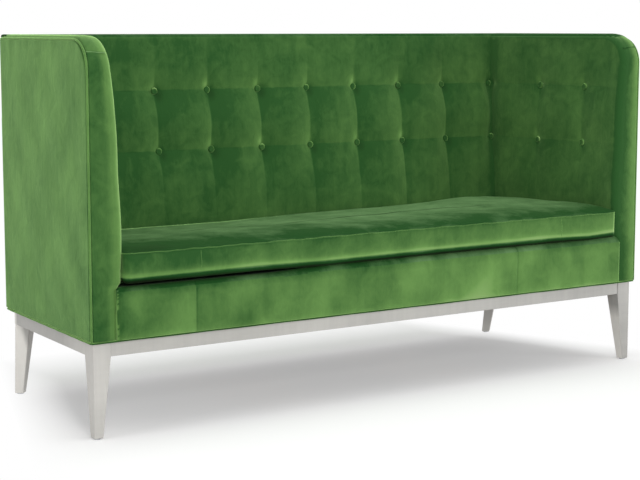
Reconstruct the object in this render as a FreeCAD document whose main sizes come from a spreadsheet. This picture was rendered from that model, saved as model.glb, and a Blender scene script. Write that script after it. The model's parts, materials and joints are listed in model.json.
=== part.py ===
import FreeCAD, Part
import math
import os
import re
import Sketcher
from FreeCAD import Placement, Rotation, Vector

# Banquette: a long bench seat with a tight tufted back, arms as high as the back, one loose seat
# cushion and a painted wooden base on four legs. Millimetres. X runs along the seat, -Y is the front,
# +Z is up. The origin lies on the floor in the middle of the whole object's outline. The arms flare
# outwards to the front, so the plan is a trapezoid.

doc = FreeCAD.newDocument("banquette")
sheet = doc.addObject("Spreadsheet::Sheet", "sizes")

SIZES = [
    ("front_width", 1905, "across the outside of the arms at the front"),
    ("back_width", 1820, "across the outside of the arms at the back"),
    ("body_depth", 628, "front of the arms to the outside back"),
    ("height", 1028, "floor to the top of the arms and back"),
    ("soft_gap", 0.3, "gap between a soft piece and its neighbour"),
    ("overrun", 60, "how far a cutting shape runs past the piece that it cuts"),
    # base
    ("rail_bottom", 213, "floor to the underside of the base rails"),
    ("rail_height", 37, "height of the base rails"),
    ("rail_thick", 25, "thickness of the base rails"),
    ("rail_setback", 1.5, "front rail behind the face of the front legs"),
    ("base_inset", 11, "base behind the faces of the upholstery"),
    ("leg_top", 50, "side of a front leg at its head"),
    ("back_leg_top", 44, "side of a back leg at its head"),
    ("leg_foot", 25, "side of a leg at the floor"),
    ("back_leg_rake", 44, "foot of a back leg behind its head"),
    ("glide_width", 18, "diameter of a glide"),
    ("glide_height", 3, "height of a glide's disc"),
    ("glide_pin", 3, "diameter of a glide's pin"),
    ("glide_pin_length", 14, "length of a glide's pin"),
    ("fit_gap", 0.2, "radial clearance of pins, bolts and screws"),
    ("block_length", 90, "length of a corner block along each rail"),
    ("block_height", 34, "height of corner blocks and stretchers"),
    ("stretcher_width", 45, "width of a base stretcher"),
    ("stretcher_place", 300, "middle of the sofa to a stretcher"),
    ("bolt_width", 8, "diameter of a leg bolt"),
    ("bolt_head", 15, "diameter of a bolt's head"),
    ("bolt_head_height", 5, "height of a bolt's head"),
    ("bolt_in_leg", 32, "leg bolt's length inside the leg"),
    ("screw_width", 5, "diameter of a base screw"),
    ("screw_head", 10, "diameter of a base screw's head"),
    ("screw_head_height", 3, "height of a base screw's head"),
    ("screw_recess", 12, "depth of the screw's counterbore in the rail"),
    ("screw_in_board", 40, "base screw's length inside the frame above"),
    ("screw_inset", 22, "base screws behind the faces of the upholstery"),
    ("front_screw_pitch", 480, "distance between base screws along front and back"),
    ("side_screw_pitch", 260, "distance between base screws along a side"),
    ("cover_thick", 1.2, "thickness of the dust cover"),
    # seat frame
    ("board_thick", 28, "thickness of the seat boards and arm frames"),
    ("seat_board_top", 372, "floor to the top of the front and back seat boards"),
    ("strap_thick", 2, "thickness of a strap"),
    ("strap_width", 50, "width of a strap"),
    ("long_strap_pitch", 148, "distance between the seat straps that run front to back"),
    ("cross_strap_pitch", 118, "distance between the seat straps that run side to side"),
    ("strap_land", 20, "length of a strap's end on its board"),
    ("deck_top", 397, "floor to the top of the deck and the front border"),
    # arms and back
    ("panel_thick", 6, "thickness of the outside arm and outside back"),
    ("post_width", 90, "width of an arm's front post"),
    ("top_rail_drop", 60, "height of the top rails"),
    ("bottom_rail_height", 90, "height of an arm's bottom rail"),
    ("back_frame_thick", 22, "thickness of the back's frame"),
    ("back_rail_height", 200, "height of the back's bottom rail"),
    ("back_post_width", 60, "width of a back post"),
    ("mid_post_place", 358, "middle of the sofa to a middle back post"),
    ("backing_thick", 2, "thickness of the arm's backing sheet"),
    ("band_thick", 8, "thickness of the padded bands on the front and top edges"),
    ("band_width", 72, "outside of the arm to the inner edge of its bands"),
    ("arm_corner_radius", 90, "radius of the arm's top front corner"),
    ("band_seam_drop", 41, "top of the arm to the seam across its front band"),
    ("edge_welt", 5.4, "diameter of the welt round the outside arm"),
    ("edge_welt_seat", 6, "width of the corner that holds that welt"),
    ("bottom_welt", 6, "diameter of the welt along the bottom edge"),
    # front border
    ("border_thick", 14, "thickness of the front border"),
    ("border_lip", 60, "depth of the border's padded lip over the seat board"),
    ("border_round", 11, "radius of the border's top front edge"),
    # tufting
    ("upper_row_drop", 165, "top of the back to the upper row of buttons"),
    ("row_pitch", 177, "distance between the rows of buttons"),
    ("column_pitch", 179, "distance between the columns of buttons on the back"),
    ("arm_column_first", 160, "front of the arm to its first column of buttons"),
    ("arm_column_pitch", 190, "distance between the columns on the arm"),
    ("back_tuft", 18, "depth of a tuft in the back"),
    ("arm_tuft", 13, "depth of a tuft in an arm"),
    ("button_width", 18, "diameter of a covered button"),
    ("button_rim", 2, "height of a button's rim"),
    ("button_height", 6, "height of a button's dome"),
    ("button_sink", 1, "button's seat below the bottom of its tuft"),
    ("button_gap", 0.5, "radial clearance round a button"),
    ("tie_width", 2, "diameter of the twine behind a button"),
    # thickness of the back from its outside face to the crest of its padding, from the bottom up
    ("back_foot_thick", 92, "at the deck"),
    ("back_seat_thick", 100, "at the top of the cushion"),
    ("back_lower_thick", 86, "at the lower row of buttons"),
    ("back_middle_thick", 78, "between the rows"),
    ("back_upper_thick", 62, "at the upper row of buttons"),
    ("back_top_thick", 44, "under the top band"),
    # thickness of an arm from its outside face to the crest of its padding, from the bottom up
    ("arm_foot_thick", 80, "at the deck"),
    ("arm_seat_thick", 86, "at the top of the cushion"),
    ("arm_lower_thick", 82, "at the lower row of buttons"),
    ("arm_middle_thick", 81, "between the rows"),
    ("arm_upper_thick", 75, "at the upper row of buttons"),
    ("arm_top_thick", 66, "under the top band"),
    ("arm_spread", 12, "extra thickness of the arm's padding at its back end"),
    ("arm_edge_round", 9, "how far the padding falls back at the arm's front edge"),
    # seat cushion
    ("cushion_gap", 1.5, "gap between the cushion and the arms and back"),
    ("cushion_set", 2, "front of the cushion behind the front of the arms"),
    ("cushion_lower_seam", 413, "floor to the cushion's lower seam"),
    ("cushion_upper_seam", 480, "floor to the cushion's upper seam"),
    ("cushion_crown", 10, "height of the crown over the upper seam"),
    ("cushion_bulge", 3, "how far the cushion's sides swell between its seams"),
    ("cushion_corner", 12, "rounding of the cushion's corners in plan"),
    ("cushion_draw", 4, "how far the cushion's sides are drawn in between its corners"),
    ("cushion_slope", 130, "distance from an edge over which the crown rises"),
]
ALIASES = [name for name, value, meaning in SIZES]

# Places that follow from the sizes, each written once and expanded wherever its name is used.
PLACES = {
    "foot_reach": "(back_leg_rake + (leg_foot - back_leg_top) / sqrt(2) - base_inset)",
    "front_y": "(0 - (body_depth + foot_reach) / 2)",
    "back_y": "(front_y + body_depth)",
    "flare": "((front_width - back_width) / 2 / body_depth)",
    "body_bottom": "(rail_bottom + rail_height)",
    "cloth_bottom": "(body_bottom + bottom_welt + soft_gap)",
    "side_board_top": "(seat_board_top - strap_thick)",
    "straps_top": "(seat_board_top + strap_thick)",
    "frame_inset": "(panel_thick + board_thick)",
    "pad_inset": "(frame_inset + backing_thick + soft_gap)",
    "back_frame": "(panel_thick + back_frame_thick)",
    "back_pad_inset": "(back_frame + strap_thick)",
    "leg_outer_x": "(front_width / 2 - base_inset * flare - base_inset)",
    "leg_inner_x": "(leg_outer_x - leg_top)",
    "leg_back_y": "(front_y + base_inset + leg_top)",
    "rail_inset": "(base_inset + rail_thick)",
    "rail_face_y": "(front_y + rail_inset)",
    "half_diagonal": "(back_leg_top / sqrt(2))",
    "back_leg_y": "(back_y - base_inset - half_diagonal)",
    "back_leg_x": "(front_width / 2 - (back_leg_y - front_y) * flare - base_inset - half_diagonal)",
    "frame_top": "(height - band_thick)",
    "upper_row": "(height - upper_row_drop)",
    "lower_row": "(upper_row - row_pitch)",
    "middle_row": "(upper_row - row_pitch / 2)",
}


def expand(text):
    """An expression of named sizes and places, written out for the document's sheet."""
    def swap(match):
        word = match.group(0)
        if word in PLACES:
            return expand(PLACES[word])
        if word in ALIASES:
            return "sizes." + word
        return word
    return re.sub(r"[a-z_]+", swap, text)


def value(text):
    """The number that an expression of named sizes and places gives now."""
    found = sheet.evalExpression(expand(text))
    return float(getattr(found, "Value", found))


def write_sheet():
    for row, (name, size, meaning) in enumerate(SIZES, 1):
        sheet.set("A%d" % row, name)
        sheet.set("B%d" % row, str(size))
        sheet.set("C%d" % row, meaning)
        sheet.setAlias("B%d" % row, name)
    doc.recompute()


write_sheet()
LEFT, RIGHT = "-1", "1"
# the back's columns of buttons between its corners, as multiples of their pitch
COLUMNS = (-3.5, -2.5, -1.5, -0.5, 0.5, 1.5, 2.5, 3.5)
SIDE_NAMES = {LEFT: "left", RIGHT: "right"}
nodes = []


def side_x(side, y, inset):
    """X of a line that runs along an arm, inset from its flared outside face, at the depth y."""
    return "%s * (front_width / 2 - ((%s) - front_y) * flare - (%s))" % (side, y, inset)


def arm_plan(side, near, far, outer, inner):
    """Plan of a board along an arm: from near to far in y, between two insets."""
    return [(side_x(side, y, inset), y)
            for y, inset in ((near, outer), (near, inner), (far, inner), (far, outer))]


def across_plan(near, far, inset):
    """Plan of a piece between the arms, its ends cut to the flare at an inset."""
    return [(side_x(LEFT, near, inset), near), (side_x(RIGHT, near, inset), near),
            (side_x(RIGHT, far, inset), far), (side_x(LEFT, far, inset), far)]


def origin_plane(body, role):
    return [feature for feature in body.Origin.OriginFeatures if feature.Role == role][0]


def sketch_on(body, name, role, offset="0"):
    sketch = body.newObject("Sketcher::SketchObject", name)
    sketch.AttachmentSupport = [(origin_plane(body, role), "")]
    sketch.MapMode = "FlatFace"
    sketch.setExpression("AttachmentOffset.Base.z", expand(offset))
    return sketch


def draw(sketch, corners, arcs=None):
    """A closed outline whose corners are bound to the sheet. arcs gives, for the edge that starts at a
    corner, its radius and its centre."""
    arcs = arcs or {}
    points = [Vector(value(across), value(up), 0) for across, up in corners]
    count = len(points)
    for index, point in enumerate(points):
        following = points[(index + 1) % count]
        if index in arcs:
            radius, across, up = arcs[index]
            centre = Vector(value(across), value(up), 0)
            start, end = [math.atan2(p.y - centre.y, p.x - centre.x) for p in (point, following)]
            circle = Part.Circle(centre, Vector(0, 0, 1), value(radius))
            turn = (end - start) % (2 * math.pi)
            ends = (start, end) if turn < math.pi else (end, start)
            sketch.addGeometry(Part.ArcOfCircle(circle, *ends), False)
        else:
            sketch.addGeometry(Part.LineSegment(point, following), False)
    ends_at = [corner_ends(sketch, index, points[index]) for index in range(count)]
    for index in range(count):
        following = (index + 1) % count
        sketch.addConstraint(Sketcher.Constraint(
            "Coincident", index, ends_at[index][1], following, ends_at[following][0]))
    for index, corner in enumerate(corners):
        for kind, text in zip(("DistanceX", "DistanceY"), corner):
            place = Sketcher.Constraint(kind, -1, 1, index, ends_at[index][0], value(text))
            sketch.setExpression("Constraints[%d]" % sketch.addConstraint(place), expand(text))
    for index, (radius, across, up) in arcs.items():
        bend = Sketcher.Constraint("Radius", index, value(radius))
        sketch.setExpression("Constraints[%d]" % sketch.addConstraint(bend), expand(radius))


def corner_ends(sketch, index, point):
    """Which end of an edge, 1 or 2, lies on its own corner, and which on the next."""
    edge = sketch.Geometry[index]
    if edge.StartPoint.distanceToPoint(point) < edge.EndPoint.distanceToPoint(point):
        return 1, 2
    return 2, 1


def new_body(label):
    body = doc.addObject("PartDesign::Body", label)
    body.Label = label
    return body


def pad(body, sketch, length):
    feature = body.newObject("PartDesign::Pad", sketch.Name + "_pad")
    feature.Profile = sketch
    feature.setExpression("Length", expand(length))
    return feature


def board(label, plan, low, high):
    """A piece with a plan outline and flat top and bottom."""
    body = new_body(label)
    sketch = sketch_on(body, label + "_plan", "XY_Plane", low)
    draw(sketch, plan)
    pad(body, sketch, "(%s) - (%s)" % (high, low))
    return body


def round_front(body, radius):
    """Rounds the top front edge of a body."""
    doc.recompute()
    last = body.Tip
    places = [edge.CenterOfMass.y - edge.CenterOfMass.z for edge in last.Shape.Edges]
    feature = body.newObject("PartDesign::Fillet", body.Name + "_round")
    feature.Base = (last, ["Edge%d" % (places.index(min(places)) + 1)])
    feature.setExpression("Radius", expand(radius))
    return feature


def profile_prism(label, outline, arcs):
    """A prism along X over the whole width, with its outline in Y and Z."""
    body = new_body(label)
    sketch = sketch_on(body, label + "_profile", "YZ_Plane", "0 - front_width / 2 - overrun")
    draw(sketch, outline, arcs)
    pad(body, sketch, "front_width + 2 * overrun")
    return body


def side_profile(label, near, high, radius):
    """An arm seen from the side, drawn through the whole width, with its top front corner rounded."""
    centre = ("(%s) + (%s)" % (near, radius), "(%s) - (%s)" % (high, radius))
    outline = [(near, "body_bottom"), (near, centre[1]), (centre[0], high), ("back_y", high),
               ("back_y", "body_bottom")]
    return profile_prism(label, outline, {1: ("(%s)" % radius,) + centre})


def boolean(kind, label, base, tool):
    result = doc.addObject("Part::" + kind, label)
    result.Label = label
    result.Base = base
    result.Tool = tool
    return result


def group(label, pieces):
    """Separate solids that share one node or serve as one cutting shape."""
    result = doc.addObject("Part::Compound", label)
    result.Label = label
    result.Links = pieces
    return result


def box(label, lengths, place):
    piece = doc.addObject("Part::Box", label)
    for name, text in zip(("Length", "Width", "Height"), lengths):
        piece.setExpression(name, expand(text))
    put(piece, place)
    return piece


def cylinder(label, diameter, length, place, direction=Vector(0, 0, 1)):
    piece = doc.addObject("Part::Cylinder", label)
    piece.Placement = Placement(Vector(), Rotation(Vector(0, 0, 1), direction))
    piece.setExpression("Radius", expand("(%s) / 2" % diameter))
    piece.setExpression("Height", expand(length))
    put(piece, place)
    return piece


def put(piece, place):
    for axis, text in zip("xyz", place):
        piece.setExpression("Placement.Base." + axis, expand(text))


def keep(*pieces):
    nodes.extend(pieces)
    return pieces[0]


def shaped(label, shape):
    piece = doc.addObject("Part::Feature", label)
    piece.Label = label
    piece.Shape = shape
    return piece


# Fasteners of the base, each with the shape that its hole is cut with

def leg_bolt(label, side, widen="0"):
    """A bolt that runs level through the front corner block into a front leg, along the diagonal."""
    reach = "(block_length - rail_thick) / 2"
    start = ("%s * (leg_inner_x - %s)" % (side, reach), "leg_back_y + " + reach,
             "rail_bottom + block_height / 2")
    direction = Vector(float(side), -1, 0)
    shank = cylinder(label + "_shank", "bolt_width + 2 * (%s)" % widen,
                     "(%s) * sqrt(2) + bolt_in_leg" % reach, start, direction)
    inward = Vector(-float(side), 1, 0)
    head = cylinder(label + "_head", "bolt_head + 2 * (%s)" % widen, "bolt_head_height", start, inward)
    return boolean("Fuse", label, shank, head)


def hanger_bolt(label, side, widen="0"):
    """An upright bolt that joins a back leg to its corner block."""
    place = ("%s * back_leg_x" % side, "back_leg_y", "rail_bottom - bolt_in_leg - (%s)" % widen)
    return cylinder(label, "bolt_width + 2 * (%s)" % widen, "bolt_in_leg + block_height + (%s)" % widen,
                    place)


def base_screw(label, x, y, widen="0"):
    """A screw from the underside of a base rail up into the frame, its head in a counterbore."""
    shank = cylinder(label + "_shank", "screw_width + 2 * (%s)" % widen,
                     "rail_height - screw_recess + screw_in_board + (%s)" % widen,
                     (x, y, "rail_bottom + screw_recess"))
    if widen == "0":
        head = cylinder(label + "_head", "screw_head", "screw_head_height",
                        (x, y, "rail_bottom + screw_recess - screw_head_height"))
    else:
        head = cylinder(label + "_bore", "screw_head + 2 * (%s)" % widen, "screw_recess + overrun",
                        (x, y, "rail_bottom - overrun"))
    return boolean("Fuse", label, shank, head)


def screw_places():
    places = []
    for count in (-1.5, -0.5, 0.5, 1.5):
        across = "%s * front_screw_pitch" % count
        places.append((across, "front_y + screw_inset"))
        places.append((across, "back_y - screw_inset"))
    for side in (LEFT, RIGHT):
        for count in (-0.5, 0.5):
            along = "((front_y + back_y) / 2 + %s * side_screw_pitch)" % count
            places.append((side_x(side, along, "screw_inset"), along))
    return places


def make_fasteners():
    bolts = []
    bolt_holes = []
    for side in (LEFT, RIGHT):
        name = SIDE_NAMES[side]
        bolts.append(leg_bolt("front_bolt_" + name, side))
        bolts.append(hanger_bolt("hanger_bolt_" + name, side))
        bolt_holes.append(leg_bolt("front_bolt_hole_" + name, side, "fit_gap"))
        bolt_holes.append(hanger_bolt("hanger_bolt_hole_" + name, side, "fit_gap"))
    screws = []
    screw_holes = []
    for count, (x, y) in enumerate(screw_places()):
        screws.append(base_screw("screw_%d" % count, x, y))
        screw_holes.append(base_screw("screw_hole_%d" % count, x, y, "fit_gap"))
    keep(group("leg_bolts", bolts))
    keep(group("base_screws", screws))
    return group("bolt_holes", bolt_holes), group("screw_holes", screw_holes)


# Base: rails, legs, blocks and stretchers

def glide(label, x, y, widen="0"):
    pin = cylinder(label + "_pin", "glide_pin + 2 * (%s)" % widen,
                   "glide_height + glide_pin_length + (%s)" % widen, (x, y, "0"))
    if widen != "0":
        return pin
    disc = cylinder(label + "_disc", "glide_width", "glide_height", (x, y, "0"))
    return boolean("Fuse", label, disc, pin)


def glide_places():
    places = []
    for side in (LEFT, RIGHT):
        places.append(("%s * (leg_outer_x - leg_foot / 2)" % side, "front_y + base_inset + leg_foot / 2"))
        places.append(("%s * back_leg_x" % side, "back_leg_y + back_leg_rake"))
    return places


def leg_loft(body, head, foot):
    """The tapered part of a leg, from its head under the rail to its foot."""
    top = sketch_on(body, body.Name + "_head", "XY_Plane", "rail_bottom")
    draw(top, head)
    bottom = sketch_on(body, body.Name + "_foot", "XY_Plane", "glide_height")
    draw(bottom, foot)
    loft = body.newObject("PartDesign::AdditiveLoft", body.Name + "_taper")
    loft.Profile = top
    loft.Sections = [bottom]


def front_leg(side, holes):
    """A square post beside the rails that tapers on its two inner faces below them."""
    def square(width):
        inner = "%s * (leg_outer_x - %s)" % (side, width)
        outer = "%s * leg_outer_x" % side
        near = "front_y + base_inset"
        far = "front_y + base_inset + " + width
        return [(outer, near), (inner, near), (inner, far), (outer, far)]
    name = "front_leg_" + SIDE_NAMES[side]
    body = new_body(name + "_wood")
    head = sketch_on(body, name + "_post", "XY_Plane", "rail_bottom")
    draw(head, square("leg_top"))
    pad(body, head, "rail_height")
    leg_loft(body, square("leg_top"), square("leg_foot"))
    keep(boolean("Cut", name, body, holes))


def back_leg(side, holes):
    """A leg turned by an eighth of a turn under the mitred back corner, its foot raked back."""
    def diamond(width, shift):
        across = "%s * back_leg_x" % side
        along = "back_leg_y + " + shift
        reach = "%s / sqrt(2)" % width
        return [(across + " - " + reach, along), (across, along + " - " + reach),
                (across + " + " + reach, along), (across, along + " + " + reach)]
    name = "back_leg_" + SIDE_NAMES[side]
    body = new_body(name + "_wood")
    leg_loft(body, diamond("back_leg_top", "0"), diamond("leg_foot", "back_leg_rake"))
    keep(boolean("Cut", name, body, holes))


def make_base(bolt_holes, screw_holes):
    pin_holes = [glide("pin_hole_%d" % count, x, y, "fit_gap")
                 for count, (x, y) in enumerate(glide_places())]
    leg_holes = group("leg_holes", pin_holes + [bolt_holes])
    for side in (LEFT, RIGHT):
        front_leg(side, leg_holes)
        back_leg(side, leg_holes)
    keep(group("leg_glides", [glide("glide_%d" % count, x, y)
                              for count, (x, y) in enumerate(glide_places())]))
    front_plan = [("0 - leg_inner_x", "front_y + base_inset + rail_setback"),
                  ("leg_inner_x", "front_y + base_inset + rail_setback"),
                  ("leg_inner_x", "rail_face_y"), ("0 - leg_inner_x", "rail_face_y")]
    outer_y = "back_y - base_inset"
    inner_y = "back_y - rail_inset"
    back_plan = [(side_x(LEFT, outer_y, "base_inset"), outer_y),
                 (side_x(RIGHT, outer_y, "base_inset"), outer_y),
                 (side_x(RIGHT, inner_y, "rail_inset"), inner_y),
                 (side_x(LEFT, inner_y, "rail_inset"), inner_y)]
    rails = [("front_base_rail", front_plan), ("back_base_rail", back_plan)]
    blocks = []
    for side in (LEFT, RIGHT):
        name = SIDE_NAMES[side]
        rails.append((name + "_base_rail", [
            (side_x(side, "leg_back_y", "base_inset"), "leg_back_y"),
            (side_x(side, outer_y, "base_inset"), outer_y),
            (side_x(side, inner_y, "rail_inset"), inner_y),
            (side_x(side, "leg_back_y", "rail_inset"), "leg_back_y")]))
        blocks.append(front_block(side))
        blocks.append(back_block(side, inner_y))
    for name, plan in rails:
        rail = board(name + "_wood", plan, "rail_bottom", "body_bottom")
        keep(boolean("Cut", name, rail, screw_holes))
    keep(boolean("Cut", "corner_blocks", group("blocks_wood", blocks), bolt_holes))
    length = "back_y - rail_inset - rail_face_y"
    stretchers = [box("stretcher_" + SIDE_NAMES[side], ("stretcher_width", length, "block_height"),
                      ("%s * stretcher_place - stretcher_width / 2" % side, "rail_face_y", "rail_bottom"))
                  for side in (LEFT, RIGHT)]
    keep(group("base_stretchers", stretchers))


def front_block(side):
    """Fills the corner behind a front leg, notched round the leg."""
    far = "leg_back_y + block_length"
    plan = [("%s * leg_inner_x" % side, "rail_face_y"),
            ("%s * (leg_inner_x - block_length)" % side, "rail_face_y"),
            (side_x(side, far, "rail_inset"), far),
            (side_x(side, "leg_back_y", "rail_inset"), "leg_back_y"),
            ("%s * leg_inner_x" % side, "leg_back_y")]
    return board("front_block_" + SIDE_NAMES[side], plan, "rail_bottom", "rail_bottom + block_height")


def back_block(side, inner_y):
    near = inner_y + " - block_length"
    corner = side_x(side, inner_y, "rail_inset")
    plan = [(corner, inner_y), (side_x(side, inner_y, "rail_inset + block_length"), inner_y),
            (side_x(side, near, "rail_inset"), near)]
    return board("back_block_" + SIDE_NAMES[side], plan, "rail_bottom", "rail_bottom + block_height")


# Seat frame, straps, deck and dust cover

def make_seat(screw_holes):
    front_near = "front_y + border_thick"
    front_far = "front_y + border_thick + board_thick"
    back_near = "back_y - back_frame - board_thick"
    back_far = "back_y - back_frame"
    front = board("seat_front_board_wood", across_plan(front_near, front_far, "frame_inset"),
                  "body_bottom", "seat_board_top")
    keep(boolean("Cut", "seat_front_board", front, screw_holes))
    keep(board("seat_back_board", across_plan(back_near, back_far, "frame_inset"),
               "body_bottom", "seat_board_top"))
    for side in (LEFT, RIGHT):
        plan = arm_plan(side, front_far, back_near, "frame_inset", "frame_inset + board_thick")
        keep(board("seat_side_board_" + SIDE_NAMES[side], plan, "body_bottom", "side_board_top"))
    long_start = front_far + " - strap_land"
    long_length = "(%s + strap_land) - (%s)" % (back_near, long_start)
    half = int(value("(back_width / 2 - frame_inset - board_thick) / long_strap_pitch - 1 / 2"))
    places = [count + 0.5 for count in range(-half - 1, half + 1)]
    keep(group("seat_straps_long", [
        box("long_strap_%d" % count, ("strap_width", long_length, "strap_thick"),
            ("%s * long_strap_pitch - strap_width / 2" % place, long_start, "seat_board_top"))
        for count, place in enumerate(places)]))
    cross = []
    for count in (-1.5, -0.5, 0.5, 1.5):
        near = "(front_y + back_y - strap_width) / 2 + %s * cross_strap_pitch" % count
        plan = across_plan(near, near + " + strap_width", "frame_inset + board_thick - strap_land")
        cross.append(board("cross_strap_%d" % len(cross), plan, "side_board_top", "seat_board_top"))
    keep(group("seat_straps_cross", cross))
    keep(board("deck_pad", across_plan("front_y + border_lip + soft_gap", "back_y - back_pad_inset",
                                       "pad_inset"), "straps_top", "deck_top"))
    near = "rail_face_y + soft_gap"
    step = "leg_back_y + soft_gap"
    far = "back_y - rail_inset - soft_gap"
    inset = "rail_inset + soft_gap"
    cover = [("leg_inner_x - soft_gap", near), ("0 - leg_inner_x + soft_gap", near),
             ("0 - leg_inner_x + soft_gap", step), (side_x(LEFT, step, inset), step),
             (side_x(LEFT, far, inset), far), (side_x(RIGHT, far, inset), far),
             (side_x(RIGHT, step, inset), step), ("leg_inner_x - soft_gap", step)]
    keep(board("dust_cover", cover, "body_bottom - cover_thick", "body_bottom"))


def make_border():
    """The padded front panel, with a lip that turns back over the seat board under the cushion."""
    body = board("front_border", across_plan("front_y", "front_y + border_lip", "band_width + soft_gap"),
                 "cloth_bottom", "deck_top")
    notch = sketch_on(body, "border_notch", "YZ_Plane", "0 - front_width / 2")
    near = "front_y + border_thick"
    far = "front_y + border_lip + overrun"
    draw(notch, [(near, "body_bottom"), (far, "body_bottom"), (far, "straps_top"), (near, "straps_top")])
    cut = body.newObject("PartDesign::Pocket", "border_cut")
    cut.Profile = notch
    cut.Reversed = True
    cut.setExpression("Length", expand("front_width"))
    round_front(body, "border_round")
    keep(body)


# Arm frames, panels, bands and welts

def make_arm_frames(screw_holes, room):
    far = "back_y - back_frame"
    near = "front_y + band_thick"
    post_profile = side_profile("post_profile", near, "frame_top", "arm_corner_radius - band_thick")
    panel_profile = side_profile("panel_profile", "front_y + edge_welt_seat", "height - edge_welt_seat",
                                 "arm_corner_radius - edge_welt_seat")
    for side in (LEFT, RIGHT):
        name = SIDE_NAMES[side]
        post = board("post_plan_" + name,
                     arm_plan(side, near, near + " + post_width", "panel_thick", "frame_inset"),
                     "body_bottom", "frame_top")
        rail_plan = arm_plan(side, near + " + post_width", far, "panel_thick", "frame_inset")
        bottom = board("arm_bottom_rail_wood_" + name, rail_plan, "body_bottom",
                       "body_bottom + bottom_rail_height")
        panel = board("panel_plan_" + name,
                      arm_plan(side, "front_y + edge_welt_seat", "back_y", "0", "panel_thick"),
                      "cloth_bottom", "height")
        sheet_plan = arm_plan(side, near, far, "frame_inset", "frame_inset + backing_thick")
        backing = board("backing_plan_" + name, sheet_plan, "straps_top", "frame_top")
        keep(boolean("Common", "arm_front_post_" + name, post_profile, post),
             board("arm_top_rail_" + name, rail_plan, "frame_top - top_rail_drop", "frame_top"),
             boolean("Cut", "arm_bottom_rail_" + name, bottom, screw_holes),
             boolean("Common", "outside_arm_" + name, panel_profile, panel),
             boolean("Common", "arm_backing_" + name, room, backing))


def band_angle():
    """The angle, about the centre of the arm's corner, at which the seam crosses the bands."""
    return "asin((arm_corner_radius - band_seam_drop) / arm_corner_radius)"


def make_bands():
    """The padded bands that wrap the front and the top of each arm, parted at the seam."""
    centre = ("front_y + arm_corner_radius", "height - arm_corner_radius")
    inner = "(arm_corner_radius - band_thick)"
    seam = [("%s - %s * cos(%s)" % (centre[0], radius, band_angle()),
             "%s + %s * sin(%s)" % (centre[1], radius, band_angle())) for radius in ("arm_corner_radius", inner)]
    front = [("front_y", "cloth_bottom"), ("front_y", centre[1]), seam[0], seam[1],
             ("front_y + band_thick", centre[1]), ("front_y + band_thick", "cloth_bottom")]
    front_profile = profile_prism("front_band_profile", front,
                                  {1: ("arm_corner_radius",) + centre, 3: (inner,) + centre})
    end = "back_y - back_top_thick"
    top = [seam[0], (centre[0], "height"), (end, "height"), (end, "frame_top"), (centre[0], "frame_top"),
           seam[1]]
    top_profile = profile_prism("top_band_profile", top,
                                {0: ("arm_corner_radius",) + centre, 4: (inner,) + centre})
    for side in (LEFT, RIGHT):
        name = SIDE_NAMES[side]
        for label, profile, width in (("arm_front_band_", front_profile, "band_width"),
                                      ("arm_top_band_", top_profile, "arm_top_thick")):
            plan = arm_plan(side, "front_y - overrun", "back_y", "edge_welt_seat", width)
            prism = board(label + "plan_" + name, plan, "body_bottom", "height + overrun")
            keep(boolean("Common", label + name, profile, prism))


def arm_welt(side):
    """A round welt up the front edge of the outside arm, over its corner and along its top edge."""
    flare = math.atan(value("flare"))
    stretch = 1 / math.cos(flare)
    seat = value("edge_welt_seat / 2")
    radius = value("arm_corner_radius") - seat
    low = value("cloth_bottom")
    high = value("height") - seat
    end = value("body_depth") * stretch
    start = Vector(0, seat, low)
    first = Vector(0, seat, high - radius)
    last = Vector(0, seat + radius, high)
    middle = Vector(0, seat + radius * (1 - math.sqrt(0.5)), high - radius * (1 - math.sqrt(0.5)))
    edges = [Part.LineSegment(start, first).toShape(), Part.Arc(first, middle, last).toShape(),
             Part.LineSegment(last, Vector(0, end, high)).toShape()]
    circle = Part.Wire(Part.Circle(start, Vector(0, 0, 1), value("edge_welt / 2")).toShape())
    welt = Part.Wire(edges).makePipeShell([circle], True, False)
    turned = Placement(Vector(value(side_x(side, "front_y", "0")), value("front_y"), 0),
                       Rotation(Vector(0, 0, 1), math.degrees(flare) * float(side)))
    inward = Placement(Vector(-float(side) * seat, 0, 0), Rotation())
    piece = shaped("arm_welt_" + SIDE_NAMES[side], welt)
    piece.Placement = turned.multiply(inward)
    return piece


def make_bottom_welt():
    """A round welt along each bottom edge of the body, mitred at the corners."""
    radius = "bottom_welt / 2"
    axes = across_plan("front_y + " + radius, "back_y - " + radius, radius)
    outer = across_plan("front_y - overrun", "back_y + overrun", "0 - overrun")
    inner = across_plan("front_y + overrun", "back_y - overrun", "overrun")
    level = "body_bottom + " + radius
    pieces = []
    for index, (start, corner, mitre) in enumerate(zip(axes, outer, inner)):
        following = (index + 1) % len(axes)
        run = [value("%s - (%s)" % pair) for pair in zip(axes[following], start)]
        direction = Vector(*run)
        back = direction.normalize() * value("overrun")
        place = ("%s - (%r)" % (start[0], back.x), "%s - (%r)" % (start[1], back.y), level)
        length = "%r + 2 * overrun" % math.hypot(*run)
        welt = cylinder("bottom_welt_%d" % index, "bottom_welt", length, place, direction)
        plan = [corner, outer[following], inner[following], mitre]
        room = board("bottom_welt_room_%d" % index, plan, "rail_bottom", "body_bottom + overrun")
        pieces.append(boolean("Common", "bottom_welt_side_%d" % index, welt, room))
    return group("bottom_edge_welt", pieces)


# Back frame, panel and straps

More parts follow.
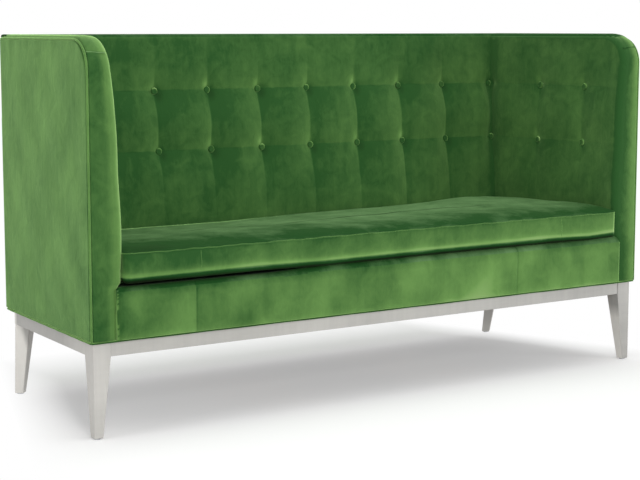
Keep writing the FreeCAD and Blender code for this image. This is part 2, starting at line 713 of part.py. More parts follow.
def make_back(screw_holes):
    near = "back_y - back_frame"
    far = "back_y - panel_thick"
    for side in (LEFT, RIGHT):
        plan = arm_plan(side, near, far, "panel_thick", "panel_thick + back_post_width")
        keep(board("back_post_" + SIDE_NAMES[side], plan, "body_bottom", "frame_top"))
    between = across_plan(near, far, "panel_thick + back_post_width")
    keep(board("back_top_rail", between, "frame_top - top_rail_drop", "frame_top"))
    bottom = board("back_bottom_rail_wood", between, "body_bottom", "body_bottom + back_rail_height")
    keep(boolean("Cut", "back_bottom_rail", bottom, screw_holes))
    low = "body_bottom + back_rail_height"
    keep(group("back_middle_posts", [
        box("middle_post_" + SIDE_NAMES[side],
            ("back_post_width", "back_frame_thick", "frame_top - top_rail_drop - (%s)" % low),
            ("%s * mid_post_place - back_post_width / 2" % side, near, low))
        for side in (LEFT, RIGHT)]))
    keep(board("outside_back", across_plan("back_y - panel_thick", "back_y", "panel_thick"),
               "cloth_bottom", "frame_top"))
    keep(board("back_top_band", across_plan("back_y - back_top_thick", "back_y", "edge_welt_seat"),
               "frame_top", "height"))
    lowest = "deck_top + soft_gap"
    length = "frame_top - (%s)" % lowest
    places = ["%s * column_pitch" % column for column in COLUMNS]
    places += [corner_x(LEFT, "upper"), corner_x(RIGHT, "upper")]
    keep(group("back_straps", [
        box("back_strap_%d" % count, ("strap_width", "strap_thick", length),
            ("%s - strap_width / 2" % place, "back_y - back_pad_inset", lowest))
        for count, place in enumerate(places)]))


# Tufted padding. Both pads are lofted through level outlines whose inner edge is a chain of arcs
# between the valleys of the button columns.

LEVELS = [("foot", "deck_top + soft_gap"), ("seat", "cushion_upper_seam"), ("lower", "lower_row"),
          ("middle", "middle_row"), ("upper", "upper_row"), ("top", "frame_top - soft_gap")]
# steps in from a seam of the cushion, as shares of the slope over which its crown rises
CROWN_SHARES = (0.1, 0.25, 0.5, 1)
VALLEY_SHARES = {"foot": 0.15, "seat": 0.35, "lower": 1, "middle": 0.6, "upper": 1, "top": 0.3}


def valley(kind, level):
    """Thickness of the back or an arm at the bottom of a valley."""
    return "%s_%s_thick - %s * %s_tuft" % (kind, level, VALLEY_SHARES[level], kind)


def arm_crest(level, y):
    return "(arm_%s_thick + arm_spread * ((%s) - front_y) / body_depth)" % (level, y)


def corner_x(side, level):
    """X of the crease between the back and an arm, on the bottom of the back's valleys."""
    y = "(back_y - (%s))" % valley("back", level)
    return side_x(side, y, arm_crest(level, y))


def chain(points):
    """Edges through points: (x, y) pairs, where a third entry is the place that an arc passes."""
    edges = []
    for start, end in zip(points, points[1:]):
        if len(end) > 2:
            edges.append(Part.Arc(Vector(*start[:2], 0), Vector(*end[2], 0), Vector(*end[:2], 0)).toShape())
        else:
            edges.append(Part.LineSegment(Vector(*start[:2], 0), Vector(*end[:2], 0)).toShape())
    return edges


def loft(sections):
    """A solid through level outlines, each a list of chain points and a height."""
    wires = []
    for points, height in sections:
        wire = Part.Wire(chain(points))
        wire.translate(Vector(0, 0, height))
        wires.append(wire)
    return Part.makeLoft(wires, True, True)


def back_pad_shape():
    columns = [value("column_pitch") * column for column in COLUMNS]
    sections = []
    for level, height in LEVELS:
        crest = value("back_y - back_%s_thick" % level)
        low = value("back_y - (%s)" % valley("back", level))
        rear = value("back_y - back_pad_inset")
        corner = value(corner_x(RIGHT, level))
        end_low = value(side_x(RIGHT, "back_y - (%s)" % valley("back", level), "pad_inset"))
        end_rear = value(side_x(RIGHT, "back_y - back_pad_inset", "pad_inset"))
        places = [-corner] + columns + [corner]
        points = [(-end_rear, rear), (-end_low, low), (-corner, low)]
        for start, end in zip(places, places[1:]):
            points.append((end, low, ((start + end) / 2, crest)))
        points += [(end_low, low), (end_rear, rear), (-end_rear, rear)]
        sections.append((points, value(height)))
    return loft(sections)


def arm_end_y(level):
    return "(back_y - (%s) - soft_gap)" % valley("back", level)


def arm_pad_shape(side, room):
    near = "(front_y + band_thick + soft_gap)"
    columns = ["(front_y + arm_column_first)", "(front_y + arm_column_first + arm_column_pitch)"]
    sections = []
    for level, height in LEVELS:
        end = arm_end_y(level)
        sink = "%s * arm_tuft" % VALLEY_SHARES[level]

        def inside(y, fall):
            return value(side_x(side, y, "%s - (%s)" % (arm_crest(level, y), fall))), value(y)

        points = [(value(side_x(side, end, "pad_inset")), value(end)),
                  (value(side_x(side, near, "pad_inset")), value(near)),
                  inside(near, "arm_edge_round")]
        stops = [near] + columns + [end]
        for start, stop in zip(stops, stops[1:]):
            middle = "(((%s) + (%s)) / 2)" % (start, stop)
            points.append(inside(stop, sink) + (inside(middle, "0"),))
        points.append(points[0][:2])
        sections.append((points, value(height)))
    return loft(sections).common(room.Shape)


def button_shape():
    """A covered button: a short round rim and a domed face, its axis along +Z."""
    radius = value("button_width / 2")
    height = value("button_height")
    rise = height - value("button_rim")
    bend = (radius ** 2 + rise ** 2) / (2 * rise)
    dome = Part.makeSphere(bend, Vector(0, 0, height - bend))
    return Part.makeCylinder(radius, height).common(dome)


def back_button_places():
    """Each button of the back: its seat, the way that it faces and the length of its tie."""
    places = []
    for level in ("lower", "upper"):
        seat = "back_y - (%s) + button_sink" % valley("back", level)
        height = value(dict(LEVELS)[level])
        corner = value(corner_x(RIGHT, level))
        columns = [-corner] + [value("column_pitch") * column for column in COLUMNS] + [corner]
        tie = value("back_y - back_pad_inset - (%s)" % seat)
        for across in columns:
            places.append((Vector(across, value(seat), height), Vector(0, -1, 0), tie))
    return places


def arm_button_places(side):
    places = []
    for level in ("lower", "upper"):
        height = value(dict(LEVELS)[level])
        for count in (0, 1):
            y = "(front_y + arm_column_first + %d * arm_column_pitch)" % count
            inset = "%s - arm_tuft - button_sink" % arm_crest(level, y)
            seat = Vector(value(side_x(side, y, inset)), value(y), height)
            facing = Vector(-float(side), -value("flare"), 0)
            tie = value("(%s) - frame_inset - backing_thick" % inset) / facing.Length
            places.append((seat, facing.normalize(), tie))
    return places


def tuft_cuts(places):
    """Button seats and tie holes, cut out of a pad."""
    radius = value("button_width / 2 + button_gap")
    hole = value("tie_width / 2 + fit_gap")
    reach = value("overrun")
    cuts = []
    for seat, facing, tie in places:
        cuts.append(Part.makeCylinder(radius, reach, seat, facing))
        cuts.append(Part.makeCylinder(hole, reach * 2, seat - facing * reach, facing))
    return cuts


def make_tufting(room):
    doc.recompute()
    back_places = back_button_places()
    pad_shape = back_pad_shape().cut(tuft_cuts(back_places))
    keep(shaped("inside_back_pad", pad_shape))
    button = button_shape()
    radius = value("tie_width / 2")

    def at(seat, facing):
        copy = button.copy()
        copy.Placement = Placement(seat, Rotation(Vector(0, 0, 1), facing))
        return copy

    def ties(places):
        return [Part.makeCylinder(radius, tie, seat - facing * tie, facing) for seat, facing, tie in places]

    keep(shaped("back_buttons", Part.makeCompound([at(seat, facing) for seat, facing, tie in back_places])))
    keep(shaped("back_button_ties", Part.makeCompound(ties(back_places))))
    for side in (LEFT, RIGHT):
        name = SIDE_NAMES[side]
        places = arm_button_places(side)
        shape = arm_pad_shape(side, room).cut(tuft_cuts(places + back_places))
        keep(shaped("inside_arm_pad_" + name, shape))
        keep(shaped("arm_buttons_" + name, Part.makeCompound([at(seat, facing)
                                                             for seat, facing, tie in places])))
        keep(shaped("arm_button_ties_" + name, Part.makeCompound(ties(places))))


# Seat cushion: a boxed cushion between two seams, crowned above and below them, its sides drawn in
# between the corners

def cushion_outline(inset):
    """A level outline of the cushion, moved in from the seams by an inset."""
    thick = "(arm_seat_thick + arm_spread * ((%s) - front_y) / body_depth + cushion_gap + cushion_bulge)"
    near = "(front_y + cushion_set + cushion_bulge + %s)" % inset
    far = "(back_y - back_seat_thick - cushion_gap - cushion_bulge - %s)" % inset
    corners = [(value(side_x(side, y, "%s + %s" % (thick % y, inset))), value(y))
               for side, y in ((LEFT, near), (RIGHT, near), (RIGHT, far), (LEFT, far))]
    middle = (0, value("(%s + %s) / 2" % (near, far)))
    bend_share = 1 / (1 + math.sqrt(0.5))
    draw_in = value("cushion_draw")
    roll = value("cushion_corner")
    points = []
    for start, end in zip(corners, corners[1:] + corners[:1]):
        length = math.dist(start, end)
        along = [(b - a) / length for a, b in zip(start, end)]
        first = [a + roll * step for a, step in zip(start, along)]
        last = [b - roll * step for b, step in zip(end, along)]
        centre = [(a + b) / 2 for a, b in zip(start, end)]
        inward = [goal - place for goal, place in zip(middle, centre)]
        away = math.hypot(*inward)
        through = [place + draw_in * part / away for place, part in zip(centre, inward)]
        points.append((start, first, last, through))
    outline = [points[0][1]]
    for index, (start, first, last, through) in enumerate(points):
        corner, following = points[(index + 1) % len(points)][:2]
        outline.append((last[0], last[1], through))
        bend = [c + ((a + b) / 2 - c) * bend_share for a, b, c in zip(last, following, corner)]
        outline.append((following[0], following[1], bend))
    return outline


def make_cushion():
    """Level outlines from the bottom of the cushion to the top of its crown."""
    bottom = value("deck_top + soft_gap")
    lower = value("cushion_lower_seam")
    upper = value("cushion_upper_seam")
    crown = value("cushion_crown")
    sections = []
    for share in reversed(CROWN_SHARES):
        rise = math.sin(math.pi / 2 * share)
        sections.append((cushion_outline("%s * cushion_slope" % share), lower - rise * (lower - bottom)))
    sections.append((cushion_outline("0"), lower))
    sections.append((cushion_outline("(0 - cushion_bulge)"), (lower + upper) / 2))
    sections.append((cushion_outline("0"), upper))
    for share in CROWN_SHARES:
        rise = math.sin(math.pi / 2 * share)
        sections.append((cushion_outline("%s * cushion_slope" % share), upper + rise * crown))
    keep(shaped("seat_cushion", loft(sections)))


def build():
    bolt_holes, screw_holes = make_fasteners()
    make_base(bolt_holes, screw_holes)
    make_seat(screw_holes)
    make_border()
    room = side_profile("room_under_bands", "front_y + band_thick + soft_gap", "frame_top - soft_gap",
                        "arm_corner_radius - band_thick - soft_gap")
    make_arm_frames(screw_holes, room)
    make_bands()
    keep(arm_welt(LEFT), arm_welt(RIGHT), make_bottom_welt())
    make_back(screw_holes)
    make_tufting(room)
    make_cushion()
    doc.recompute()


def check():
    for item in doc.Objects:
        state = [word for word in item.State if word in ("Invalid", "Error")]
        if state:
            raise RuntimeError("%s failed: %s" % (item.Label, state))
    for piece in nodes:
        shape = piece.Shape
        if shape.isNull() or not shape.isValid() or not shape.Solids:
            raise RuntimeError("%s has no valid shape" % piece.Label)


def export():
    os.makedirs("parts", exist_ok=True)
    for piece in nodes:
        piece.Shape.exportStep(os.path.join("parts", piece.Label + ".step"))
    print(len(nodes), "nodes")


build()
check()
export()
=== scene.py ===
import json
import math

import bmesh
import bpy
import numpy as np
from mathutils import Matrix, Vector


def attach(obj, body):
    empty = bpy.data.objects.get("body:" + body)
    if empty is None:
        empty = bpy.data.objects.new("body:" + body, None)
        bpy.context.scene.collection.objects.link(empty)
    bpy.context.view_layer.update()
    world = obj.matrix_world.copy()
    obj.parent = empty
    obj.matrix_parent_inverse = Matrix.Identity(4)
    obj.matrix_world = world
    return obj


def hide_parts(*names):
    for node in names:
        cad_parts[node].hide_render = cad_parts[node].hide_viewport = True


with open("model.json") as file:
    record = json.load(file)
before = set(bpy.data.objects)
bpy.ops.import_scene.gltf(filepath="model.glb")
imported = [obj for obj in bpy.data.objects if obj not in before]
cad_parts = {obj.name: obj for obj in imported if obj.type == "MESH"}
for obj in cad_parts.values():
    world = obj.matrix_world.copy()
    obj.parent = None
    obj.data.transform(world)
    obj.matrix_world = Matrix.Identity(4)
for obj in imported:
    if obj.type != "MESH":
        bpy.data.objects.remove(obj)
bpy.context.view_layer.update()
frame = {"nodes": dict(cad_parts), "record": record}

# A long tufted banquette in green velvet on a painted base. Metres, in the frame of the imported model:
# X along the seat, -Y the front, +Z up, the origin on the floor.

# Sizes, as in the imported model.

FRONT, BACK, TOP, DEPTH = -0.32378, 0.30422, 1.028, 0.628
HALF_FRONT, FLARE = 0.9525, 0.0425 / DEPTH
BODY_LOW, CLOTH_LOW, DECK = 0.250, 0.2563, 0.397
ARM_CORNER = 0.090
BASE_INSET, RAIL_THICK, RAIL_LOW = 0.011, 0.025, 0.213
LEG_HEAD, LEG_FOOT, LEG_LOW = 0.050, 0.025, 0.003
BACK_LEG_HEAD, BACK_LEG_RAKE = 0.044, 0.044
HANDS = {-1: "left", 1: "right"}

# The tufts: button rows and columns, how deep they pull, and the thickness of the padding at some heights.

ROWS = (0.686, 0.863)
BACK_PITCH, ARM_PITCH = 0.179, 0.190
COLUMNS = BACK_PITCH * np.arange(-3.5, 4)
CORNER_COLUMN = 0.8265
ARM_COLUMNS = (FRONT + 0.160, FRONT + 0.350)
TUFT_BACK, TUFT_ARM = 0.019, 0.009
LEVELS = np.array([0.250, 0.397, 0.480, 0.686, 0.7745, 0.863, 1.020])
BACK_CREST = np.array([0.092, 0.092, 0.100, 0.086, 0.078, 0.062, 0.044])
ARM_CREST = np.array([0.074, 0.076, 0.086, 0.082, 0.081, 0.075, 0.066])
ARM_SPREAD = 0.012
FULL_AT = (0.250, 0.392, 0.402, 0.430, 0.500, 0.616, 0.743, 0.868, 0.944, 1.020)
FRONT_FULL = (0.007, 0.008, 0.017, 0.013, 0.010, 0.0090, 0.0078, 0.0058, 0.0005, -0.001)

# The soft front: how far it stands out, and the seams of the border and of the cushion.

PROUD = FRONT - 0.014
BORDER_SEAMS = (-0.652, 0.452)
CUSHION_SEAMS = (-0.637, 0.625)
CUSHION_FRONT = PROUD - 0.001
CUSHION_BACK = BACK - 0.104
SEAM_LOW, SEAM_HIGH = 0.4135, 0.477
CLOTH_THICK = 0.003


def unit(value):
    """A value held between 0 and 1."""
    return np.clip(value, 0, 1)


def fade(distance, reach):
    """1 up to no distance, then falling off by e for every reach."""
    return np.exp(-unit(distance) / reach)


def hump(value, at, width):
    """A bell of height 1: exp(-((value - at) / width) ** 2)."""
    return np.exp(-(((value - at) / width) ** 2))


def quarter(count):
    """Angles from 0 to a quarter turn."""
    return np.linspace(0, np.pi / 2, count)


def half_width(y):
    """Half the width over the outside of the arms at a depth."""
    return HALF_FRONT - (np.asarray(y) - FRONT) * FLARE


def through(z, values):
    """A smooth curve of height: cubic Hermite pieces through the values at LEVELS."""
    z = np.clip(np.asarray(z, float), LEVELS[0], LEVELS[-1])
    slopes = np.gradient(values, LEVELS)
    k = np.clip(np.searchsorted(LEVELS, z, side="right") - 1, 0, len(LEVELS) - 2)
    span = LEVELS[k + 1] - LEVELS[k]
    t = (z - LEVELS[k]) / span
    return ((2 * t**3 - 3 * t**2 + 1) * values[k] + (t**3 - 2 * t**2 + t) * span * slopes[k]
            + (3 * t**2 - 2 * t**3) * values[k + 1] + (t**3 - t**2) * span * slopes[k + 1])


def ripple(*waves):
    """A soft uneven value made of a few sines: each wave is (amplitude, phase array)."""
    return sum(size * np.sin(phase) for size, phase in waves)


def clouds(across, up):
    """Soft patches where the pile lies another way: four slow waves across each other."""
    return ripple((0.045, across * 19 + 3 * np.sin(up * 9)), (0.04, up * 15 + 2 * np.sin(across * 13 + 1)),
                  (0.035, across * 43 - up * 21), (0.03, up * 37 + across * 31 + 2 * np.sin(across * 29)))


# Meshes.

def numbers(items, name, width=3, kind=float):
    """One attribute of all the vertices or faces as an array, with a row each where width is more than 1."""
    values = np.zeros(len(items) * width, kind)
    items.foreach_get(name, values)
    return values.reshape(-1, width) if width > 1 else values


def link_piece(name, mesh, merge=False):
    """An object for a mesh, smooth and with its faces turned the same way."""
    work = bmesh.new()
    work.from_mesh(mesh)
    if merge:
        bmesh.ops.remove_doubles(work, verts=work.verts, dist=2e-5)
        bmesh.ops.dissolve_degenerate(work, edges=work.edges, dist=1e-6)
    bmesh.ops.recalc_face_normals(work, faces=work.faces)
    work.to_mesh(mesh)
    work.free()
    mesh.shade_smooth()
    piece = bpy.data.objects.new(name, mesh)
    bpy.context.scene.collection.objects.link(piece)
    return piece


def towards(x, y, z):
    """For sew: the skin faces one way."""
    return lambda centres: np.array([x, y, z], float) + 0 * centres


def sew(name, grids, facing, nap_and_shading=0.0, polygons=(), thick=None):
    """One mesh from point grids (rows, columns, 3) joined where they meet. facing(centres) gives the way
    that each part of the skin should face. nap is a number or one array for each grid: the nap attribute,
    the pile's lean together with painted shade and highlights."""
    points, faces, naps_and_shading, start = [], [], [], 0
    for index, grid in enumerate(grids):
        rows, columns = grid.shape[:2]
        at = start + np.arange(rows * columns).reshape(rows, columns)
        quads = np.stack([at[:-1, :-1], at[:-1, 1:], at[1:, 1:], at[1:, :-1]], -1).reshape(-1, 4)
        faces += [tuple(quad) for quad in quads.tolist()]
        points.append(grid.reshape(-1, 3))
        value = nap_and_shading[index] if isinstance(nap_and_shading, (list, tuple)) else nap_and_shading
        naps_and_shading.append(np.broadcast_to(value, (rows, columns)).reshape(-1))
        start += rows * columns
    for polygon in polygons:
        faces.append(tuple(range(start, start + len(polygon))))
        points.append(polygon)
        naps_and_shading.append(np.zeros(len(polygon)))
        start += len(polygon)
    mesh = bpy.data.meshes.new(name)
    mesh.from_pydata(np.concatenate(points).tolist(), [], faces)
    attribute = mesh.attributes.new("nap_and_shading", "FLOAT", "POINT")
    attribute.data.foreach_set("value", np.concatenate(naps_and_shading).astype(np.float32))
    piece = link_piece(name, mesh, merge=True)
    agree = (numbers(mesh.polygons, "normal") * facing(numbers(mesh.polygons, "center"))).sum(1)
    if (agree * numbers(mesh.polygons, "area", 1)).sum() < 0:
        mesh.flip_normals()
    if thick:
        shell = piece.modifiers.new("cloth", "SOLIDIFY")
        shell.thickness = thick
        shell.offset = -1
    return piece


def tube_grid(path, radius, sides=10, closed=False):
    """Points round a path: centre + r (cos a * side + sin a * up), with frames carried along it."""
    path = np.asarray(path, float)
    if closed:
        path = np.vstack([path, path[:1]])
        tangent = np.roll(path[:-1], -1, 0) - np.roll(path[:-1], 1, 0)
        tangent = np.vstack([tangent, tangent[:1]])
    else:
        tangent = np.gradient(path, axis=0)
    tangent /= np.linalg.norm(tangent, axis=1, keepdims=True)
    side = np.cross(tangent, [1.0, 0, 0] if np.abs(tangent[:, 2]).max() > 0.9 else [0, 0, 1.0])
    side /= np.linalg.norm(side, axis=1, keepdims=True)
    over = np.cross(side, tangent)
    angle = np.linspace(0, 2 * np.pi, sides + 1)
    grid = path[:, None] + radius * (np.cos(angle)[None, :, None] * side[:, None]
                                     + np.sin(angle)[None, :, None] * over[:, None])
    if closed:
        return grid
    ends = [np.broadcast_to(point, (1, sides + 1, 3)) for point in (path[0], path[-1])]
    return np.concatenate([ends[0], grid, ends[1]])


def tube(name, path, radius, nap_and_shading, sides=10, closed=False):
    """A round cord, seam or welt along a path. nap(grid) gives the nap attribute on it: how its pile lies,
    and painted shade and highlights.
    """
    grid = tube_grid(path, radius, sides, closed)

    def facing(centres):
        return centres - path[np.argmin(((centres[:, None] - path[None]) ** 2).sum(-1), 1)]
    return sew(name, [grid], facing, [nap_and_shading(grid)])


def edge_lines(length, roll, steps):
    """Places along a length, packed towards both ends so that a rounded edge is smooth."""
    turn = roll * (1 - np.cos(quarter(7)))
    return np.concatenate([turn, np.linspace(roll, length - roll, steps)[1:-1], length - turn[::-1]])


def rolled(distance, roll):
    """Share of the full thickness at a distance from an edge that rolls over as a quarter circle."""
    return np.sqrt(unit(1 - (1 - unit(distance / roll)) ** 2))


def rim_of(face):
    """The points round a grid."""
    return np.concatenate([face[0, :-1], face[:-1, -1], face[-1, :0:-1], face[:0:-1, 0]])


# Materials.

class Wire:
    """A socket of a shader, with arithmetic that adds Math nodes."""

    def __init__(self, shader, socket):
        self.shader, self.socket = shader, socket

    def math(self, operation, other=0.0):
        return self.shader.node("ShaderNodeMath", {"operation": operation}, {0: self, 1: other})

    def __add__(self, other):
        return self.math("ADD", other)

    def __sub__(self, other):
        return self.math("SUBTRACT", other)

    def __mul__(self, other):
        return self.math("MULTIPLY", other)


class Shader:
    """A material, or the world, and the nodes that are added to it."""

    def __init__(self, name, world=False):
        self.owner = (bpy.data.worlds if world else bpy.data.materials).new(name)
        self.owner.use_nodes = True
        self.nodes = self.owner.node_tree.nodes
        self.nodes.clear()
        self.end = self.nodes.new("ShaderNodeOutputWorld" if world else "ShaderNodeOutputMaterial")
        self.links = self.owner.node_tree.links

    def node(self, kind, settings=None, inputs=None, out=0):
        node = self.nodes.new(kind)
        for name, value in (settings or {}).items():
            setattr(node, name, value)
        for name, value in (inputs or {}).items():
            if isinstance(value, Wire):
                self.links.new(value.socket, node.inputs[name])
            else:
                node.inputs[name].default_value = value
        return Wire(self, node.outputs[out])

    def place(self, scale=(1, 1, 1)):
        """Object coordinates, stretched."""
        return self.node("ShaderNodeMapping", {}, {
            "Vector": self.node("ShaderNodeTexCoord", out="Object"), "Scale": scale})

    def axes(self):
        """The x and the y of a place."""
        return [self.node("ShaderNodeSeparateXYZ", {}, {"Vector": self.place()}, axis) for axis in (0, 1)]

    def noise(self, scale, detail=2.0, rough=0.5, stretch=(1, 1, 1), twist=0.0):
        return self.node("ShaderNodeTexNoise", {}, {
            "Vector": self.place(stretch), "Scale": scale, "Detail": detail, "Roughness": rough,
            "Distortion": twist})

    def blend(self, low, high, share):
        return self.node("ShaderNodeMix", {"data_type": "RGBA"}, {6: low, 7: high, 0: share}, out=2)

    def mix(self, share, first, second):
        """Two surfaces in a share."""
        return self.node("ShaderNodeMixShader", {}, {0: share, 1: first, 2: second})

    def spread(self, wire, low, high):
        """0 at low and 1 at high, held at both ends."""
        return self.node("ShaderNodeMapRange", {}, {
            "Value": wire, "From Min": low, "From Max": high, "To Min": 0.0, "To Max": 1.0})

    def bump(self, height, distance, strength=1.0, under=None):
        inputs = {"Height": height, "Distance": distance, "Strength": strength}
        if under:
            inputs["Normal"] = under
        return self.node("ShaderNodeBump", {}, inputs)

    def shown(self):
        """1 for a ray from the camera, straight or by a mirror or glass."""
        rays = [self.node("ShaderNodeLightPath", out="Is %s Ray" % kind)
                for kind in ("Camera", "Glossy", "Transmission")]
        return rays[0].math("MAXIMUM", rays[1]).math("MAXIMUM", rays[2])

    def finish(self, **inputs):
        names = {key.replace("_", " "): value for key, value in inputs.items()}
        return self.close(self.node("ShaderNodeBsdfPrincipled", {}, names))

    def close(self, surface):
        self.links.new(surface.socket, self.end.inputs["Surface"])
        return self.owner


def linear(red, green, blue):
    """A colour as seen on a screen, 0 to 255, in linear light."""
    shares = np.array([red, green, blue]) / 255
    return (*np.where(shares <= 0.04045, shares / 12.92, ((shares + 0.055) / 1.055) ** 2.4).tolist(), 1.0)


WHITE = (1, 1, 1, 1)
# Painted shade and painted highlight for the velvet: near black where the nap attribute is low, a bright
# yellow green where it is high.
PAINTED_SHADE_BLACK, PAINTED_HIGHLIGHT = (0.0005, 0.004, 0.0006, 1), (0.32, 0.47, 0.19, 1)


def velvet(name, sheen=1.0, spread=0.40, gloss=0.1, low=(0.019, 0.080, 0.017, 1),
           pale=(0.148, 0.300, 0.078, 1)):
    """Cut pile: a deep green seen straight on, a pale yellow green at a glancing angle. Soft patches and
    upright streaks are where the pile leans another way. The nap attribute carries the pile's lean and also
    painted
    light: a value below -0.15 goes towards black, painted shade as in a crevice, and one above 0.85 towards
    a bright yellow green, a painted highlight."""
    s = Shader(name)
    patches = s.noise(4.5, 2, 0.5, twist=0.5)
    marks = s.noise(22, 3, 0.55, twist=0.8)
    streaks = s.noise(38, 2, 0.5, stretch=(1, 1, 0.1), twist=0.2)
    fibres = s.noise(150, 3, 0.65, stretch=(1, 1, 0.4), twist=0.4)
    pile = s.noise(900, 2, 0.6)
    nap_and_shading = s.node("ShaderNodeAttribute", {"attribute_name": "nap_and_shading"}, out="Fac")
    lean = patches * 0.35 + marks * 0.45 + streaks * 0.2 - 0.5
    share = s.spread(lean * 1.05 + (fibres - 0.5) * 0.22 + (pile - 0.5) * 0.1 + nap_and_shading, 0.0, 1.0)
    # Painted shade: the deep colour runs to near black as the nap value falls. Painted highlight: the colour
    # runs to a bright yellow green as it rises.
    deep = s.blend(PAINTED_SHADE_BLACK, low, s.spread(nap_and_shading, -1.0, -0.15))
    colour = s.blend(s.blend(deep, pale, share), PAINTED_HIGHLIGHT, s.spread(nap_and_shading, 0.85, 1.65))
    brushed_pile_and_shade = s.bump(patches * 0.45 + marks * 0.3 + streaks * 0.15 + fibres * 0.1, 0.008, 0.4)
    surface = s.bump(pile, 0.0004, 0.5, brushed_pile_and_shade)
    return s.finish(Base_Color=colour, Roughness=0.9, Specular_IOR_Level=gloss, Normal=surface,
                    Sheen_Weight=sheen, Sheen_Roughness=spread, Sheen_Tint=(0.59, 1.0, 0.37, 1))


def painted():
    """Pale metallic paint on wood: satin, with faint grain from brushing and soft warm clouds. On it,
    painted
    shade and light by place: duller to the right of the front rail and on the left side rail, brighter on
    the right leg's inner side and on the back legs."""
    s = Shader("champagne_paint")
    grain = s.noise(60, 3, 0.55, stretch=(1, 1, 0.06))
    along = s.noise(60, 3, 0.55, stretch=(0.05, 1, 1))
    cloud = s.noise(5, 2)
    fine = s.noise(700, 2, 0.6)
    share = s.spread(grain * 0.25 + along * 0.2 + cloud * 0.55, 0.25, 0.75)
    x, y = s.axes()
    near, rear = s.spread(y * -1, 0.1, 0.2), s.spread(y, 0.245, 0.255)
    left, right = s.spread(x * -1, 0.866, 0.872), s.spread(x, 0.80, 0.85)
    # Painted shade along the front rail, more to the right, and painted light on the right leg's side.
    rail = s.spread(x, -0.91, -0.89) * 0.08 + s.spread(x, -0.8, 0.8) * 0.27
    leg_side_light = s.spread(x, 0.895, 0.90) * s.spread(y, -0.3126, -0.3112) * 0.8
    # The tone: paint grain and clouds, plus painted shade and light by place.
    tone = (share * 0.3 + 0.367 - near * rail + near * leg_side_light + rear * (left * 0.45 + right * 0.22)
            - (near * -1 + 1) * (rear * -1 + 1) * left * 0.20)
    colour = s.blend(linear(140, 139, 136), linear(225, 222, 216), tone)
    return s.finish(Base_Color=colour, Roughness=share * 0.1 + fine * 0.08 + 0.36, Metallic=0.3,
                    Specular_IOR_Level=0.4, Normal=s.bump(grain * 0.5 + fine * 0.2, 0.0004, 0.4))


def timber():
    """Planed beech: long rings drawn out along the boards, with fine pores."""
    s = Shader("beech")
    rings = s.noise(16, 4, 0.55, stretch=(0.15, 2, 1), twist=0.6)
    pores = s.noise(300, 2, 0.6, stretch=(0.1, 1, 0.3))
    share = s.spread(rings * 0.75 + pores * 0.25, 0.3, 0.7)
    colour = s.blend(linear(176, 136, 92), linear(214, 182, 138), share)
    return s.finish(Base_Color=colour, Roughness=share * 0.15 + 0.5,
                    Normal=s.bump(pores + rings, 0.0004, 0.4))


def woven(name, deep, pale, threads):
    """Plain weave: ribs along the three axes, uneven in tone."""
    s = Shader(name)
    ribs = [s.node("ShaderNodeTexWave", {"bands_direction": way, "wave_profile": "SIN"},
                   {"Vector": s.place(), "Scale": threads, "Distortion": 0.4, "Detail": 1.0}, out="Fac")
            for way in ("X", "Y", "Z")]
    weave = ribs[0] * 0.34 + ribs[1] * 0.33 + ribs[2] * 0.33
    cloud = s.noise(25, 3)
    colour = s.blend(linear(*deep), linear(*pale), s.spread(weave * 0.6 + cloud * 0.4, 0.25, 0.75))
    return s.finish(Base_Color=colour, Roughness=0.85, Normal=s.bump(weave, 0.0005, 0.6))


def zinc():
    """Zinc plated steel with a faint crystal pattern."""
    s = Shader("zinc_plate")
    cells = s.node("ShaderNodeTexVoronoi", {}, {"Vector": s.place(), "Scale": 250.0}, out="Color")
    tone = s.node("ShaderNodeSeparateColor", {}, {"Color": cells})
    colour = s.blend(linear(150, 152, 156), linear(196, 198, 200), tone)
    return s.finish(Base_Color=colour, Roughness=tone * 0.2 + 0.3, Metallic=0.9)


VELVET = velvet("green_velvet")
# The dim velvet, with little sheen and a darker deep colour, is on the seat's top and serves as painted
# shade on top bands, seams, the border's top roll and the cushion's lower band.
DIM_VELVET = velvet("dim_velvet", 0.06, 0.45, 0.05, (0.011, 0.060, 0.012, 1), (0.172, 0.318, 0.130, 1))
# The shaded velvet, with no sheen or gloss, is painted shade in a crevice.
CREVICE = velvet("shaded_velvet", 0.0, gloss=0.0)
PAINT = painted()
DECKING = woven("deck_cloth", (30, 64, 28), (52, 96, 44), 420.0)
BY_SLOT = {"velvet": VELVET, "painted_wood": PAINT, "deck_cloth": DECKING,
           "timber": timber(), "steel": zinc(),
           "webbing": woven("jute_webbing", (120, 96, 62), (176, 148, 104), 260.0),
           "lining": woven("black_cambric", (18, 18, 18), (44, 44, 44), 420.0)}

for entry in frame["record"]["subparts"]:
    node = frame["nodes"][entry["node"]]
    node.data.materials.clear()
    node.data.materials.append(BY_SLOT[entry["material_slot"]])


def dress(piece, *stands_for, fill=None, material=VELVET, slot="velvet", body="sofa"):
    """Gives a piece its material, hangs it under its body and hides the model parts that it stands for."""
    piece.data.materials.append(material)
    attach(piece, body)
    if stands_for:
        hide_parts(*stands_for)
    return piece


def shade(piece, where, material):
    """Gives some of a piece's faces, picked by their centres, another cloth."""
    faces = piece.data.polygons
    piece.data.materials.append(material)
    chosen = numbers(faces, "material_index", 1, np.int32)
    chosen[where(*numbers(faces, "center").T)] = len(piece.data.materials) - 1
    faces.foreach_set("material_index", chosen)


# Tufted covers.

def pull(z, strength=1.0):
    """How far the upright valleys are pulled in: fully at the button rows, less between them, fading
    quickly above the upper row and below the lower one."""
    low, high = ROWS
    between = 1 - 0.55 * np.sin(np.pi * unit((z - low) / (high - low))) ** 0.9
    above = 0.03 + 0.97 * fade(z - high, 0.030)
    below = 0.04 + 0.96 * fade(low - z, 0.075 * strength)
    return np.where(z > high, above, np.where(z < low, below, between))


